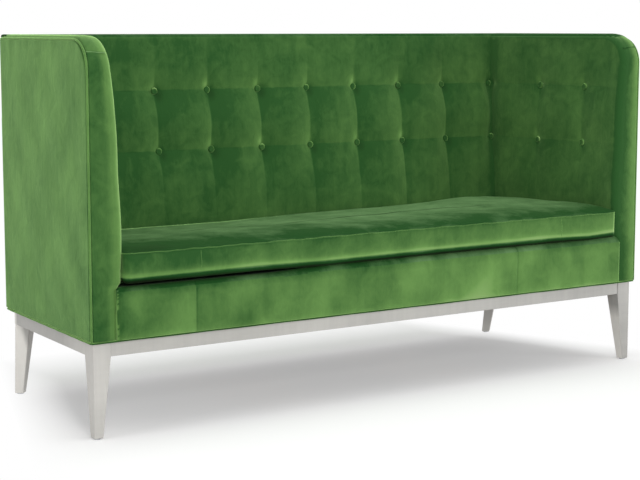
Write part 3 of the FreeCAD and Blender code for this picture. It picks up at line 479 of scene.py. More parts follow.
def tufts(across, z, columns, pitch, depth, strength=1.0):
    """Depth of the stitched valleys below the crown. Upright valleys run through all buttons, deepest at
    the buttons, and wander a little: each rises steeply from its stitch line and rounds off half a pitch
    away. Level pleats join the buttons, and each button pulls in a pit."""
    columns = np.asarray(columns)
    wander = 0.0020 * np.sin(z * 17 + np.arange(len(columns))[:, None, None] * 2.3)
    nearest = np.abs(across[None] - columns[:, None, None] - wander).min(0)
    bay = unit(nearest / (pitch / 2))
    upright = depth * pull(z, strength) * (1 - np.sin(np.pi / 2 * bay) ** 0.8)
    level, pits = 0, 0
    for row in ROWS:
        drop = np.abs(z - row - 0.004 * np.sin(np.pi * bay))
        along = 0.5 + 0.5 * np.exp(-nearest / 0.03)
        level = level + 0.62 * depth * along * np.exp(-((drop / 0.034) ** 1.05))
        pits = pits + 0.004 * np.exp(-(np.hypot(nearest, drop) / 0.012) ** 1.8)
    pulled = np.maximum(upright, level) + 0.35 * np.minimum(upright, level)
    return depth * np.tanh(pulled / depth * 1.15) / math.tanh(1.45) + pits - 0.001


def packed(low, high, count, centres, reach=0.022, extra=2.5):
    """Places from low to high, closer together round some centres: equal steps of the running sum of
    1 + extra * exp(-(distance / reach) ** 2)."""
    fine = np.linspace(low, high, 4000)
    density = 1 + extra * sum(hump(fine, centre, reach) for centre in centres)
    total = np.concatenate([[0], np.cumsum((density[1:] + density[:-1]) / 2)])
    return np.interp(np.linspace(0, total[-1], count), total, fine)


def brushed_pile_and_shade(across, z, columns, pitch, low_share=0.6):
    """Painted light in a tufted field, written as nap values: dark at the start of each bay and pale at its
    end, as glancing sheen would fall, painted shade under each row of level pleats and a little paler above
    it, with a painted highlight on the pucker above each button and painted shade on the one below."""
    columns = np.asarray(columns)
    low, high = ROWS
    start = np.searchsorted(columns, across.ravel()).reshape(across.shape) - 1
    share = unit((across - columns[np.clip(start, 0, None)]) / pitch)
    share = np.where(start < 0, 0.5, share)
    strength = np.where(z > high, 0.75 * fade(z - high, 0.03),
                        np.where(z < low, low_share * (0.30 + 0.70 * fade(low - z, 0.07)), 0.75))
    nap_and_shading = strength * (0.13 * share**3 - 0.13 * (1 - share) ** 2)
    for row in ROWS:
        line = row + 0.003 * np.sin(np.pi * share)
        under = fade(line - z, 0.040) * (z < line) * (0.5 + 0.5 * (1 - share) ** 1.5)
        over = fade(z - line, 0.030) * (z >= line)
        bay = 0.75 + 0.25 * np.sin(start * 2.7 + row * 30)
        nap_and_shading = nap_and_shading - 0.16 * under * bay + 0.05 * over * bay
        for index, column in enumerate(columns):
            x, y = across - column, z - row
            pale = 0.42 + 0.24 * math.sin(index * 2.1 + row * 40)
            nap_and_shading = nap_and_shading + pale * hump(x, -0.007, 0.010) * hump(y, 0.018, 0.016)
            nap_and_shading = nap_and_shading - 0.30 * hump(x, 0.011, 0.014) * hump(y, -0.014, 0.018)
    return nap_and_shading


def slope_sheen(slope_along, slope_up):
    """How much lighter the pile is painted where the padding turns down or aside into a valley: painted
    sheen.
    """
    return np.clip(slope_up * 0.35 - slope_along * 0.25, -0.15, 0.25)


def inside_edge(z):
    """Half the width between the arms at the inside back."""
    return half_width(BACK - 0.08) - through(z, ARM_CREST) - ARM_SPREAD


def back_thickness(x, z):
    """From the outside back to the face of the padding."""
    columns = np.concatenate([[-CORNER_COLUMN], COLUMNS, [CORNER_COLUMN]])
    inside = unit((inside_edge(z) - np.abs(x)) / 0.02)
    soft = ripple((0.0012, x * 23 + z * 9), (0.001, x * 41 - z * 17 + 1), (0.0008, z * 37 + x * 5))
    strength = 0.4 + 0.9 * unit((x + 0.5) / 1.0)
    drop = tufts(x, z, columns, BACK_PITCH, TUFT_BACK, strength)
    low = TUFT_BACK * pull(z)
    return through(z, BACK_CREST) - drop * inside - low * (1 - inside) + soft * inside


def arm_thickness(y, z):
    """From the outside of an arm to the face of its padding."""
    columns = np.array([*ARM_COLUMNS, BACK - 0.060])
    reach = unit((y - FRONT - 0.03) / 0.07)
    above = unit((z - DECK) / 0.02)
    spread = ARM_SPREAD * (y - FRONT) / DEPTH
    soft = ripple((0.0008, y * 27 + z * 11), (0.0006, y * 45 - z * 19 + 2))
    drop = tufts(y, z, columns, ARM_PITCH, TUFT_ARM)
    full = np.interp(z, FULL_AT, FRONT_FULL) * hump(y, FRONT, 0.060)
    return through(z, ARM_CREST) + (spread - drop * reach + soft) * above + full


def arm_point(side, y, inset, z):
    return np.stack([side * (half_width(y) - inset), y + 0 * z, z + 0 * y], -1)


def arm_cover(side):
    """One skin: the tufted inner face, the rounded edge, and the band down the front and along the top.
    The face is a grid in depth y and height z whose top edge follows the rounded corner; rings of points
    round its edge carry it over a quarter round, across the band and into the seam by the outside welt."""
    roll, rise, seam, welt, end = 0.016, 0.024, 0.0045, 0.006, BACK - 0.014
    centre_y, centre_z, reach = FRONT + ARM_CORNER, TOP - ARM_CORNER, ARM_CORNER - roll
    y = np.concatenate([centre_y - reach * np.cos(quarter(16)), np.linspace(centre_y, end, 100)[1:]])
    high = centre_z + reach * np.sqrt(1 - unit((centre_y - y) / reach) ** 2)
    share = packed(0, 1, 150, [(row - CLOTH_LOW) / (TOP - roll - CLOTH_LOW) for row in ROWS], 0.03)
    z = CLOTH_LOW + (high[None] - CLOTH_LOW) * share[:, None]
    y = np.broadcast_to(y, z.shape)
    inset = arm_thickness(y, z)
    edge_y, edge_z, edge_inset = (np.concatenate([grid[:, 0], grid[-1, 1:]]) for grid in (y, z, inset))
    out_y = np.where(edge_z <= centre_z + 1e-9, -1.0, np.clip((edge_y - centre_y) / reach, -1, 0))
    out_z = np.sqrt(1 - out_y**2)
    base_y, base_z = edge_y + roll * out_y, edge_z + roll * out_z
    turn, across, tuck = (np.linspace(0, top, count)[1:, None] for top, count in
                          ((np.pi / 2, 9), (1, 12), (np.pi / 2, 5)))
    fold = seam + 0.0065 * out_z**2
    depth = np.concatenate([roll * (1 - np.sin(turn)) + 0 * fold,
                            -0.0018 * np.sin(np.pi * across) + 0 * fold, fold * (1 - np.cos(tuck))])
    level = np.concatenate([edge_inset - rise * (1 - np.cos(turn)),
                            (edge_inset - rise) * (1 - across) + (welt + seam) * across,
                            welt + seam * (1 - np.sin(tuck)) + 0 * edge_inset])
    rings = arm_point(side, base_y - depth * out_y, level, base_z - depth * out_z)
    rings[..., 2] -= 0.003 * unit((rings[..., 1] - BACK + 0.030) / 0.030) ** 2
    rings = np.concatenate([arm_point(side, edge_y, edge_inset, edge_z)[None], rings])
    slope_z = np.gradient(inset, axis=0) / np.gradient(z, axis=0)
    slope_y = np.gradient(inset, axis=1) / np.gradient(y, axis=1)
    over = np.concatenate([[0], np.sin(turn[:, 0]), 1 + across[:, 0], 2 + 0 * tuck[:, 0]])[:, None]
    upper = unit((rings[..., 2] - 0.9868) / 0.0012)
    # Painted light on the front band: on the left arm a painted highlight over the rounded inner edge,
    # fading across the band, paler above the band seam and a little darker towards the top and bottom; on
    # the right arm painted shade over the inner edge, lighter towards the outer welt.
    if side < 0:
        band = np.interp(over, (0, 0.6, 0.9, 1.05, 1.3, 2), (0.9, 1.1, 0.75, 0.48, 0.22, 0.15))
        band = band + 0.26 * upper - 0.10 * unit(np.abs(rings[..., 2] - 0.62) / 0.35) ** 2
        inner = 0.22
    else:
        band = np.interp(over, (0, 0.3, 1, 1.4, 1.75, 1.95), (0.10, -0.05, -0.08, 0.22, 0.6, 0.72))
        inner = 0.20
    band = band + 0.3 * clouds(rings[..., 2] * 0.7, rings[..., 1])
    # Painted shade in the back corner, and the tufts' painted shade and highlights and painted sheen on the
    # slopes.
    corner = 0.34 * np.exp(-unit(BACK - 0.075 - y) / (0.016 + 0.03 * (TOP - z)))
    pleat = brushed_pile_and_shade(-y, z, sorted([-place for place in ARM_COLUMNS]), ARM_PITCH, 0.3) * (z > DECK + 0.1)
    nap_and_shading = inner + slope_sheen(-side * slope_y * 0.4, slope_z) + 0.6 * pleat + 0.5 * clouds(y, z) - corner
    return sew("arm_cover_" + HANDS[side], [arm_point(side, y, inset, z), rings],
               towards(-side, -1, 0.3), [nap_and_shading, band], thick=CLOTH_THICK)


def back_cover():
    """One skin: the tufted inside back, its rounded top edge and the top band to the rear seam. The face
    is a grid in x and z; rings of points carry it over the top."""
    roll, seam = 0.014, 0.006
    end = half_width(BACK - 0.02) - 0.006
    x = packed(-end, end, 330, COLUMNS)[None]
    z = packed(DECK, TOP - roll, 120, ROWS)[:, None]
    x, z = np.broadcast_arrays(x, z)
    thick = back_thickness(x, z)
    face = np.stack([x, BACK - thick, z], -1)
    rim = thick[-1]
    over = [(rim - roll * (1 - math.cos(angle)), TOP - roll * (1 - math.sin(angle)))
            for angle in quarter(7)[1:]]
    over += [((rim - roll) * (1 - step) + seam * step, TOP + 0.0015 * math.sin(math.pi * step))
             for step in np.linspace(0, 1, 7)[1:]]
    over += [(seam * (1 - math.sin(angle)) + 0 * rim, TOP - seam * (1 - math.cos(angle)))
             for angle in quarter(5)[1:]]
    rings = [face[-1]] + [np.stack([x[0], BACK - deep, high + 0 * rim], -1) for deep, high in over]
    slope_z, slope_x = np.gradient(thick, z[:, 0], x[0])
    # Painted shade along the corners by the arms, and the tufts' painted shade and highlights.
    corner = 0.34 * np.exp(-unit(inside_edge(z) - np.abs(x)) / (0.018 + 0.03 * (TOP - z)))
    pleat = brushed_pile_and_shade(x, z, COLUMNS, BACK_PITCH, np.interp(x, (-0.4, 0.5), (0.35, 1.0))) * (corner < 0.2)
    # Darker towards the top edge and lighter to the right, as painted shade; painted sheen on the slopes.
    base = 0.20 - 0.06 * unit((z - 0.90) / 0.06) + 0.05 * np.clip(x / 0.5, -1, 1)
    nap_and_shading = [base + slope_sheen(slope_x, slope_z) + pleat - corner, 0.10]
    return sew("back_cover", [face, np.stack(rings)], towards(0, -1, 0.2), nap_and_shading, thick=CLOTH_THICK)


# Outside panels.

def outside_arm(side):
    """The outside of an arm: a shallow pillow in y and z with a rounded top front corner. Its thickness
    is a quarter circle at the edges and swells a little in the middle."""
    roll, corner = 0.0035, 0.085
    near, far, low, high = FRONT + 0.0050, BACK, CLOTH_LOW, 1.0165
    along = edge_lines(far - near, roll, 70)
    arc = corner * (1 - np.cos(quarter(22)))
    along = np.unique(np.concatenate([along[along > corner], arc]).round(6))
    top = high - corner + np.sqrt(np.clip(corner**2 - np.clip(corner - along, 0, None) ** 2, 0, None))
    share = edge_lines(1.0, 0.0065, 80)[:, None]
    y = np.broadcast_to(near + along, (len(share), len(along)))
    z = low + (top[None] - low) * share
    inward = np.hypot(np.clip(near + corner - y, 0, None), np.clip(z - high + corner, 0, None))
    at_corner = (y < near + corner) & (z > high - corner)
    edge = np.minimum(np.minimum(y - near, far - y), np.minimum(z - low, high - z))
    edge = np.where(at_corner, corner - inward, edge)
    swell = 0.0012 * np.sin(np.pi / 2 * unit(edge / 0.20)) ** 2
    uneven = ripple((0.0005, y * 19 + z * 13), (0.0004, z * 29 - y * 31 + 1)) * unit(edge / 0.05)
    pucker = ripple((0.0004, y * 61 + z * 6), (0.0003, y * 97 - z * 9 + 1))
    pucker = pucker * np.exp(-edge / 0.03) * (z > 0.8)
    inset = 0.0045 * (1 - rolled(edge, roll)) - swell - uneven - pucker
    face = arm_point(side, y, inset, z)
    nap_and_shading = 0.22 + 1.3 * clouds(y, z) - 0.10 * np.exp(-edge / 0.012)
    return sew("outside_arm_panel_" + HANDS[side], [face], towards(side, 0, 0), [nap_and_shading], [rim_of(face)])


def outside_back():
    """The outside back: the same shallow pillow in x and z."""
    roll, high = 0.005, 1.0215
    end = half_width(BACK) - 0.0062
    x = -end + edge_lines(2 * end, roll, 150)[None]
    z = CLOTH_LOW + edge_lines(high - CLOTH_LOW, roll, 70)[:, None]
    x, z = np.broadcast_arrays(x, z)
    edge = np.minimum(end - np.abs(x), np.minimum(z - CLOTH_LOW, high - z))
    swell = 0.002 * unit(edge / 0.05) ** 0.7
    uneven = ripple((0.0006, x * 13 + z * 9), (0.0005, z * 23 - x * 19 + 1)) * unit(edge / 0.03)
    face = np.stack([x, BACK - 0.0055 * (1 - rolled(edge, roll)) + swell + uneven, z], -1)
    return sew("outside_back_panel", [face], towards(0, 1, 0), 0.4, [rim_of(face)])


def front_border():
    """The padded front rail: an upright outline in y and z (bottom edge, crowned face, soft top edge, lip)
    carried along x. At both ends the face and the top roll in as a quarter circle."""
    roll, foot, end_roll = 0.022, 0.006, 0.008
    low, high, under = CLOTH_LOW, 0.3965, 0.3745
    inner, lip = FRONT + 0.014, FRONT + 0.060
    outline = [(inner, low)]
    outline += [(PROUD + foot - foot * math.sin(a), low + foot * (1 - math.cos(a))) for a in quarter(5)[:-1]]
    outline += [(PROUD - 0.0015 * math.sin(math.pi * a), low + foot + (high - roll - low - foot) * a)
                for a in np.linspace(0, 1, 26)]
    outline += [(PROUD + roll * (1 - math.cos(a)), high - roll + roll * math.sin(a))
                for a in quarter(10)[1:]]
    outline = np.array(outline + [(lip, high), (lip, under), (inner, under)])
    ends = half_width(FRONT + 0.01) - 0.0770
    joins = np.concatenate([place + np.linspace(-0.012, 0.012, 13) for place in BORDER_SEAMS])
    x = np.unique(np.concatenate([-ends + edge_lines(2 * ends, 0.012, 200), joins]))
    x[0] -= 0.0045
    x, y = np.broadcast_arrays(x[:, None], outline[None, :, 0])
    z = np.broadcast_to(outline[None, :, 1], x.shape)
    off = end_roll * (1 - rolled(ends - np.abs(x), end_roll))
    seam = sum(hump(x, place, 0.003) for place in BORDER_SEAMS)
    soft = ripple((0.0012, x * 11 + z * 21), (0.0009, x * 27 - z * 33 + 2), (0.0006, x * 61 + z * 13))
    swell = (soft - 0.0016 * seam) * unit((z - low) / 0.02) * (y < FRONT + 0.02)
    y = np.maximum(y - swell, PROUD + off - 0.004 * (off < 1e-6))
    z = np.minimum(z, high - off * 0.6)
    z = z + ((z - low) / (high - low)) ** 2 * np.interp(
        x, (-0.9, -0.40, -0.22, 0.62, 0.80, 0.87), (-0.0055, -0.0055, 0.0020, 0.0020, 0.004, 0.008))
    bend = unit((x - ends + 0.024) / 0.024)
    z = z - 0.020 * (1 - np.sqrt(1 - bend**2)) * unit((z - high + 0.05) / 0.05)
    nap_and_shading = np.select([x < BORDER_SEAMS[0], x < BORDER_SEAMS[1]], [0.50, 0.45], 0.50)
    nap_and_shading = nap_and_shading - 0.20 * np.exp(-np.abs(x - BORDER_SEAMS[0]) / 0.03) * (x > BORDER_SEAMS[0]) - 0.2 * seam
    nap_and_shading = nap_and_shading + 1.9 * clouds(x, z) + 0.10 * unit(x / 0.8) + 0.28 * hump(x, 0.27, 0.17)
    # Painted highlight along the bottom edge above the welt.
    nap_and_shading = nap_and_shading + 0.42 * fade(z - low, 0.009)
    # Painted shade on the top roll, under the cushion's front.
    nap_and_shading = nap_and_shading - np.interp(x, (-0.4, -0.1), (0.45, 0.33)) * unit((z - high + 0.034) / 0.03)
    # Painted shade at the left end, beside the arm.
    nap_and_shading = nap_and_shading - 0.35 * np.exp(-(x + ends) / 0.025)
    grid, nap_and_shading = (np.concatenate([values, values[:, :1]], 1) for values in (np.stack([x, y, z], -1), nap_and_shading))
    # The left end cap carries a painted highlight, a bright edge like the strip's; the right cap is duller.
    caps = [np.stack([row, row.mean(0) + 0 * row]) for row in (grid[0], grid[-1])]
    middle = np.array([0, FRONT + 0.007, 0.32])
    return sew("front_border_cover", [grid, *caps], lambda centres: (centres - middle) * [0, 1, 1],
               [nap_and_shading, 0.95, 0.25])


# Seat cushion.

def cushion_side(y):
    """Half the width of the cushion at a depth: it follows the slant of the arms."""
    return 0.8600 - 0.0850 * (y - CUSHION_FRONT)


def on_outline(x, y):
    """True where a point lies near the cushion's outline seen from above."""
    edge = np.minimum(y - CUSHION_FRONT, CUSHION_BACK - y)
    return np.minimum(edge, cushion_side(y) - np.abs(x)) < 0.012


def sag(x, y):
    """How far the rear of the top edge has sunk, most at the left."""
    return 0.007 * unit((y - CUSHION_FRONT - 0.15) / 0.25) * np.interp(x, (-0.25, 0.05), (1, 0.2))


def ridge(x, y):
    """Height of the lower seam, which wanders a little along the front."""
    near = unit((CUSHION_FRONT + 0.20 - y) / 0.15)
    return SEAM_LOW + near * np.interp(x, (-0.86, -0.65, -0.45, -0.25, 0.1, 0.6, 0.74, 0.86),
                                       (0.003, 0.004, 0.005, 0.0015, 0.0035, 0.0045, 0.001, 0.0055))


def cushion_outline(inset, steps=640):
    """The cushion's outline seen from above, moved in by an inset: straight runs drawn in a little between
    corners of 28 mm radius, points at even steps, then held inside the smaller plan."""
    near, far = CUSHION_FRONT, CUSHION_BACK
    corners = [(way * cushion_side(y), y) for way, y in ((-1, near), (1, near), (1, far), (-1, far))]
    radius, lines = 0.028, []
    for start, end in zip(np.array(corners), np.roll(corners, -1, 0)):
        way = end - start
        length = np.hypot(*way)
        way /= length
        inward = np.array([-way[1], way[0]])
        t = np.linspace(0, 1, int(steps * length / 4.5))[:, None]
        lines.append(start + way * (radius + (length - 2 * radius) * t) + inward * 0.003 * np.sin(np.pi * t))
        angle = quarter(9)[1:-1, None]
        centre = end - way * radius + inward * radius
        lines.append(centre - inward * radius * np.cos(angle) + way * radius * np.sin(angle))
    line = np.concatenate(lines)
    y = np.clip(line[:, 1], near + inset, far - inset)
    side = cushion_side(y) - inset
    return np.column_stack([np.clip(line[:, 0], -side, side), y])


def seat_cushion():
    """A boxed cushion as outlines one above the other: from the flat underside out to the lower seam, which
    stands out as a soft ridge, up the boxing, in from the upper seam and over the crown, whose height is
    sin(pi/2 u) ** 0.8 at the share u of the way in."""
    half_depth = (CUSHION_BACK - CUSHION_FRONT) / 2
    ways = np.concatenate([[0.0, 0.004, 0.010], np.linspace(0.020, 0.16, 14),
                           np.linspace(0.17, half_depth, 10)])
    below = [(way, -0.0160) for way in ways[::-1][:-7]]
    below += [(0.070, -0.0178), (0.050, -0.0182), (0.032, -0.0184), (0.018, -0.0182), (0.010, -0.0170),
              (0.005, -0.0135), (0.002, -0.0085), (0.0004, -0.0030), (0.0, 0.0)]
    rings = []

    def ring(way, height):
        line = cushion_outline(way)
        line = np.vstack([line, line[:1]])
        rings.append(np.column_stack([line, height(ridge(*line.T), way)]))
    for way, drop in below:
        ring(way, lambda low, way: np.where(way > 0.08, SEAM_LOW, low) + drop)
    for t in np.linspace(0, 1, 13)[1:-1]:
        ring(0.0008 * math.sin(math.pi * t) + 0.0012 * t, lambda low, way: low + t * (SEAM_HIGH - low))
    for way in ways:
        rise = 0.010 * np.sin(np.pi / 2 * min(way / 0.16, 1)) ** 0.8
        ring(0.0012 + way, lambda low, way: SEAM_HIGH + rise + 0 * low)
    middle = np.array([0, (CUSHION_FRONT + CUSHION_BACK) / 2, (SEAM_LOW + SEAM_HIGH) / 2])
    return sew("seat_cushion_cover", [np.stack(rings)], lambda centres: centres - middle)


def puff(piece, pressure, cap, steps=20):
    """Blows a cushion up as cloth: held along its seams and its flat underside, under pressure for some
    steps. A point moves by cap * tanh(move / cap) along each axis."""
    mesh = piece.data
    start = numbers(mesh.vertices, "co")
    x, y, z = start.T
    low = ridge(x, y)
    near_seam = np.minimum(np.abs(z - low), np.abs(z - SEAM_HIGH)) < 0.002
    held = np.flatnonzero((z < low - 0.004) | (near_seam & on_outline(x, y)))
    piece.vertex_groups.new(name="held").add(held.tolist(), 1.0, "REPLACE")
    cloth = piece.modifiers.new("cloth", "CLOTH")
    settings = cloth.settings
    settings.quality = 6
    settings.mass = 0.3
    settings.use_pressure = True
    settings.uniform_pressure_force = pressure
    settings.vertex_group_mass = "held"
    settings.tension_stiffness = settings.compression_stiffness = 25
    settings.bending_stiffness = 2.0
    settings.effector_weights.gravity = 0
    cloth.collision_settings.use_collision = False
    cloth.collision_settings.use_self_collision = False
    cloth.point_cache.frame_start, cloth.point_cache.frame_end = 1, steps
    scene = bpy.context.scene
    for step in range(1, steps + 1):
        scene.frame_set(step)
    shown = piece.evaluated_get(bpy.context.evaluated_depsgraph_get())
    move = numbers(shown.data.vertices, "co") - start
    scene.frame_set(1)
    piece.modifiers.remove(cloth)
    piece.vertex_groups.clear()
    move = np.array(cap) * np.tanh(move / np.array(cap))
    mesh.vertices.foreach_set("co", (start + move).reshape(-1))
    mesh.update()
    mesh.shade_smooth()


def shape_and_shade_seat(piece):
    """Shapes the top of the cushion, which is fullest along the front and at the right, presses soft hollows
    into it, and writes its nap values, mostly painted light: painted shade down the front slope, a paler top
    behind it as painted sheen, a painted highlight along the ridge at the foot of the boxing, and painted
    shade darker and darker below it."""
    mesh = piece.data
    points = numbers(mesh.vertices, "co")
    x, y, z = points.T
    behind = y - CUSHION_FRONT
    share = np.minimum(np.minimum(behind, CUSHION_BACK - y) / 0.13, (cushion_side(y) - np.abs(x)) / 0.05)
    crown = np.sin(np.pi / 2 * unit(share)) ** 0.7
    back = unit((behind - 0.18) / 0.30)
    full = (np.interp(x, (-0.8, -0.2, 0.3, 0.6, 0.75), (0.010, 0.014, 0.015, 0.015, 0.022)) * (1 - back)
            + np.interp(x, (-0.8, -0.6, -0.3, 0.0, 0.3, 0.49, 0.62, 0.7, 0.78),
                        (-0.004, -0.003, -0.002, 0.004, 0.008, 0.018, 0.027, 0.024, 0.014)) * back)
    above = z > SEAM_HIGH
    sunk = sag(x, y)
    z = z - sunk * unit((z - SEAM_LOW) / (SEAM_HIGH - SEAM_LOW))
    sink = ripple((0.0012, x * 9 + y * 7), (0.0010, x * 17 - y * 21 + 1), (0.0007, x * 37 + y * 29 + 2))
    settled = SEAM_HIGH - sunk + 0.25 * (z + sunk - SEAM_HIGH) + (full + sink) * crown
    points[:, 2] = np.where(above, settled, z)
    mesh.vertices.foreach_set("co", points.reshape(-1))
    swirl = x + 0.04 * np.sin(x * 11) + 0.3 * y
    streak = ripple((0.06, swirl * 23), (0.05, swirl * 51 + 2 * np.sin(y * 30)),
                    (0.04, y * 60 + 3 * np.sin(x * 7)))
    reach = behind * (1 + 0.2 * np.sin(x * 9 + 1))
    # Painted shade down the front slope and painted sheen on the top behind it.
    top = np.interp(reach, (0, 0.01, 0.025, 0.045, 0.09, 0.15, 0.22, 0.35, 0.52),
                    (0.05, -0.15, -0.20, -0.10, 0.18, 0.40, 0.50, 0.55, 0.52))
    top = top + streak + np.interp(
        x, (-0.8, -0.6, -0.4, 0.0, 0.5, 0.8), (-0.30, -0.16, -0.05, -0.02, 0.03, 0.0))
    top = top + np.interp(x, (-0.75, -0.45, 0.3, 0.7), (0.10, 0.20, 0.16, 0.10)) * hump(reach, 0.03, 0.05)
    rise = z - ridge(x, y)
    # Painted highlight along the ridge and painted shade below it, down to near black, with more painted
    # shade towards the left end.
    side = np.interp(
        rise, (-0.0165, -0.0130, -0.0095, -0.004, -0.0012, 0.003, 0.006, 0.012, 0.022, 0.050, 0.063),
        (-1.10, -0.80, -0.35, -0.08, 1.1, 1.2, 0.85, 0.58, 0.42, 0.28, 0.16))
    side = side * np.where(rise < -0.005, np.interp(x, (-0.6, -0.1), (0.62, 1.0)), 1)
    side = side + (rise > -0.001) * np.interp(
        x, (-0.85, -0.65, -0.4, 0, 0.6, 0.8), (-0.32, -0.20, -0.12, -0.08, 0.0, 0.12))
    side = side - 0.5 * np.clip(-0.70 - x, 0, 0.1) * 10 * (rise < -0.006) + 1.1 * clouds(x, z)
    # Painted highlight on the boxing's rounded right front corner.
    side = side + 0.5 * hump(np.hypot(cushion_side(y) - x, behind), 0.012, 0.006) * (x > 0.8)
    nap_and_shading = np.where(above, top, side)
    mesh.attributes["nap_and_shading"].data.foreach_set("value", nap_and_shading.astype(np.float32))
    mesh.update()
    mesh.shade_smooth()


def cushion_seams(cushion):
    """Fine raised seams: round the top edge, and up the boxing at two joins, where each lies on the nearest
    points of the cushion."""
    upper = cushion_outline(0.0010)
    steps = np.arange(len(upper))
    wander = 0.0007 * np.sin(steps * 0.31) + 0.0005 * np.sin(steps * 0.83)
    upper = np.column_stack([upper, SEAM_HIGH + 0.0004 + wander - sag(*upper.T)])
    grids = [tube_grid(upper, 0.0012, 8, True)]
    # The top seam is paler along the front than behind, a painted highlight; the joins up the boxing are
    # paler still.
    naps_and_shading = [np.where(grids[0][..., 1] > CUSHION_FRONT + 0.05, 0.0, 0.30)]
    points = numbers(cushion.data.vertices, "co")
    points = points[points[:, 1] < CUSHION_FRONT + 0.02]
    for join in CUSHION_SEAMS:
        z = np.linspace(float(ridge(join, CUSHION_FRONT)) + 0.001, SEAM_HIGH, 24)
        x = join + 0.0008 * np.sin(z * 90)
        apart = np.hypot(points[None, :, 0] - x[:, None], points[None, :, 2] - z[:, None])
        weight = hump(apart, 0, 0.004) + 1e-12
        y = (weight * points[None, :, 1]).sum(1) / weight.sum(1)
        grids.append(tube_grid(np.column_stack([x, y + 0.0004, z]), 0.0009, 6))
    middle = np.array([0, -0.06, 0.44])
    return sew("seat_cushion_seams", grids, lambda centres: centres - middle, [*naps_and_shading, 0.40, 0.65])


# Buttons, welts and seams.

def button_grid(seat, facing, turn):
    """A covered button: rings of points whose radius and height follow a dome with a flat middle and a
    full rim, puckered a little where the velvet is gathered under it."""
    facing = np.asarray(facing, float) / np.linalg.norm(facing)
    side = np.cross(facing, [0, 0, 1.0])
    up = np.cross(side, facing)
    slope = np.linspace(0, 1, 14)[:, None]
    angle = np.linspace(0, 2 * np.pi, 29)[None]
    radius = 0.0104 * np.sin(slope * np.pi * 0.60)
    height = 0.0050 * np.cos(slope * np.pi * 0.5) ** 0.8 + 0.0016 * hump(slope, 0.5, 0.2)
    radius = radius * (1 + 0.035 * np.sin(9 * angle + turn) * slope**3)
    # Painted highlight: a bright crescent on one side of each button's rim, written as nap values.
    bright = math.pi * (0.86 + 0.22 * math.sin(turn * 2.4 + 1))
    highlight_crescent = unit(np.cos(angle - bright)) ** 0.7 * hump(slope, 0.62, 0.22)
    nap_and_shading = 0.02 + (1.0 + 0.55 * math.sin(turn * 1.7)) * highlight_crescent
    round_it = np.cos(angle)[..., None] * side + np.sin(angle)[..., None] * up
    grid = np.asarray(seat) + radius[..., None] * round_it + (height + 0 * angle)[..., None] * facing
    return grid, nap_and_shading


def covered_buttons(name, seats, facing):
    grids, naps_and_shading = zip(*(button_grid(seat, facing, turn) for turn, seat in enumerate(seats)))
    return sew(name, grids, towards(*facing), naps_and_shading, [grid[-1, :-1] for grid in grids])


def back_buttons():
    seats = []
    for row, seat in zip(ROWS, (BACK - 0.068, BACK - 0.044)):
        edge = float(half_width(seat) - through(row, ARM_CREST) - ARM_SPREAD * (seat - FRONT) / DEPTH)
        seats += [(x, seat + 0.001, row) for x in (-edge, *COLUMNS, edge)]
    return covered_buttons("back_buttons_covered", seats, (0, -1, 0))


def arm_buttons(side):
    seats = []
    for row in ROWS:
        for y in ARM_COLUMNS:
            inset = float(through(row, ARM_CREST)) + ARM_SPREAD * (y - FRONT) / DEPTH - TUFT_ARM - 0.001
            seats.append(arm_point(side, np.array(y), inset, np.array(row)))
    return covered_buttons("arm_buttons_covered_" + HANDS[side], seats, (-side, -FLARE, 0))


def arm_welt(side):
    """The welt between an arm's outside and its bands: a round cord up the front, round and back."""
    half = 0.003
    radius = ARM_CORNER - half
    bend = np.linspace(np.pi, np.pi / 2, 24)
    front = np.linspace(CLOTH_LOW - 0.001, TOP - ARM_CORNER, 60)[:-1]
    back = np.linspace(FRONT + ARM_CORNER, BACK - half, 50)[1:]
    y = np.concatenate([0 * front + FRONT + half, FRONT + ARM_CORNER + radius * np.cos(bend), back])
    z = np.concatenate([front, TOP - ARM_CORNER + radius * np.sin(bend), 0 * back + TOP - half])
    z = z - 0.0055 * unit((z - TOP + 0.06) / 0.057) ** 2
    z = z - 0.003 * unit((y - BACK + 0.030) / 0.030) ** 2
    wobble = 0.00025 * np.sin(np.arange(len(y)) * 1.7)
    path = arm_point(side, y, half, z) + np.stack([wobble, wobble, 0 * wobble], -1)
    return tube("arm_welt_cord_" + HANDS[side], path, 0.0029, lambda grid: 0.6)


def bottom_welt():
    """The welt round the bottom edge, with small turned ends standing out at the front corners."""
    inset, radius, middle = 0.009, 0.006, BODY_LOW + 0.003
    front, back = HALF_FRONT - inset, float(half_width(BACK)) - inset
    turns = []
    for x, y, start in ((-front, FRONT + inset, 1), (front, FRONT + inset, 1.5), (back, BACK - inset, 0),
                        (-back, BACK - inset, 0.5)):
        angle = start * np.pi + quarter(6)
        turns.append(np.stack([x + radius * np.cos(angle), y + radius * np.sin(angle),
                               0 * angle + middle], -1))
    path = []
    for turn, following in zip(turns, turns[1:] + turns[:1]):
        share = np.linspace(0, 1, 60)[1:-1, None]
        path += [turn, turn[-1] + (following[0] - turn[-1]) * share]
    path = np.concatenate(path)
    path[:, 2] += 0.0003 * np.sin(np.arange(len(path)) * 0.9)
    # Painted shade on the welt's underside and a painted highlight along its top.
    return tube("bottom_welt_cord", path, 0.0032, lambda grid: np.interp(
        grid[..., 2] - middle, (-0.0032, -0.0006, 0.0010, 0.0028), (-0.7, -0.4, 0.6, 1.2)), 12, True)


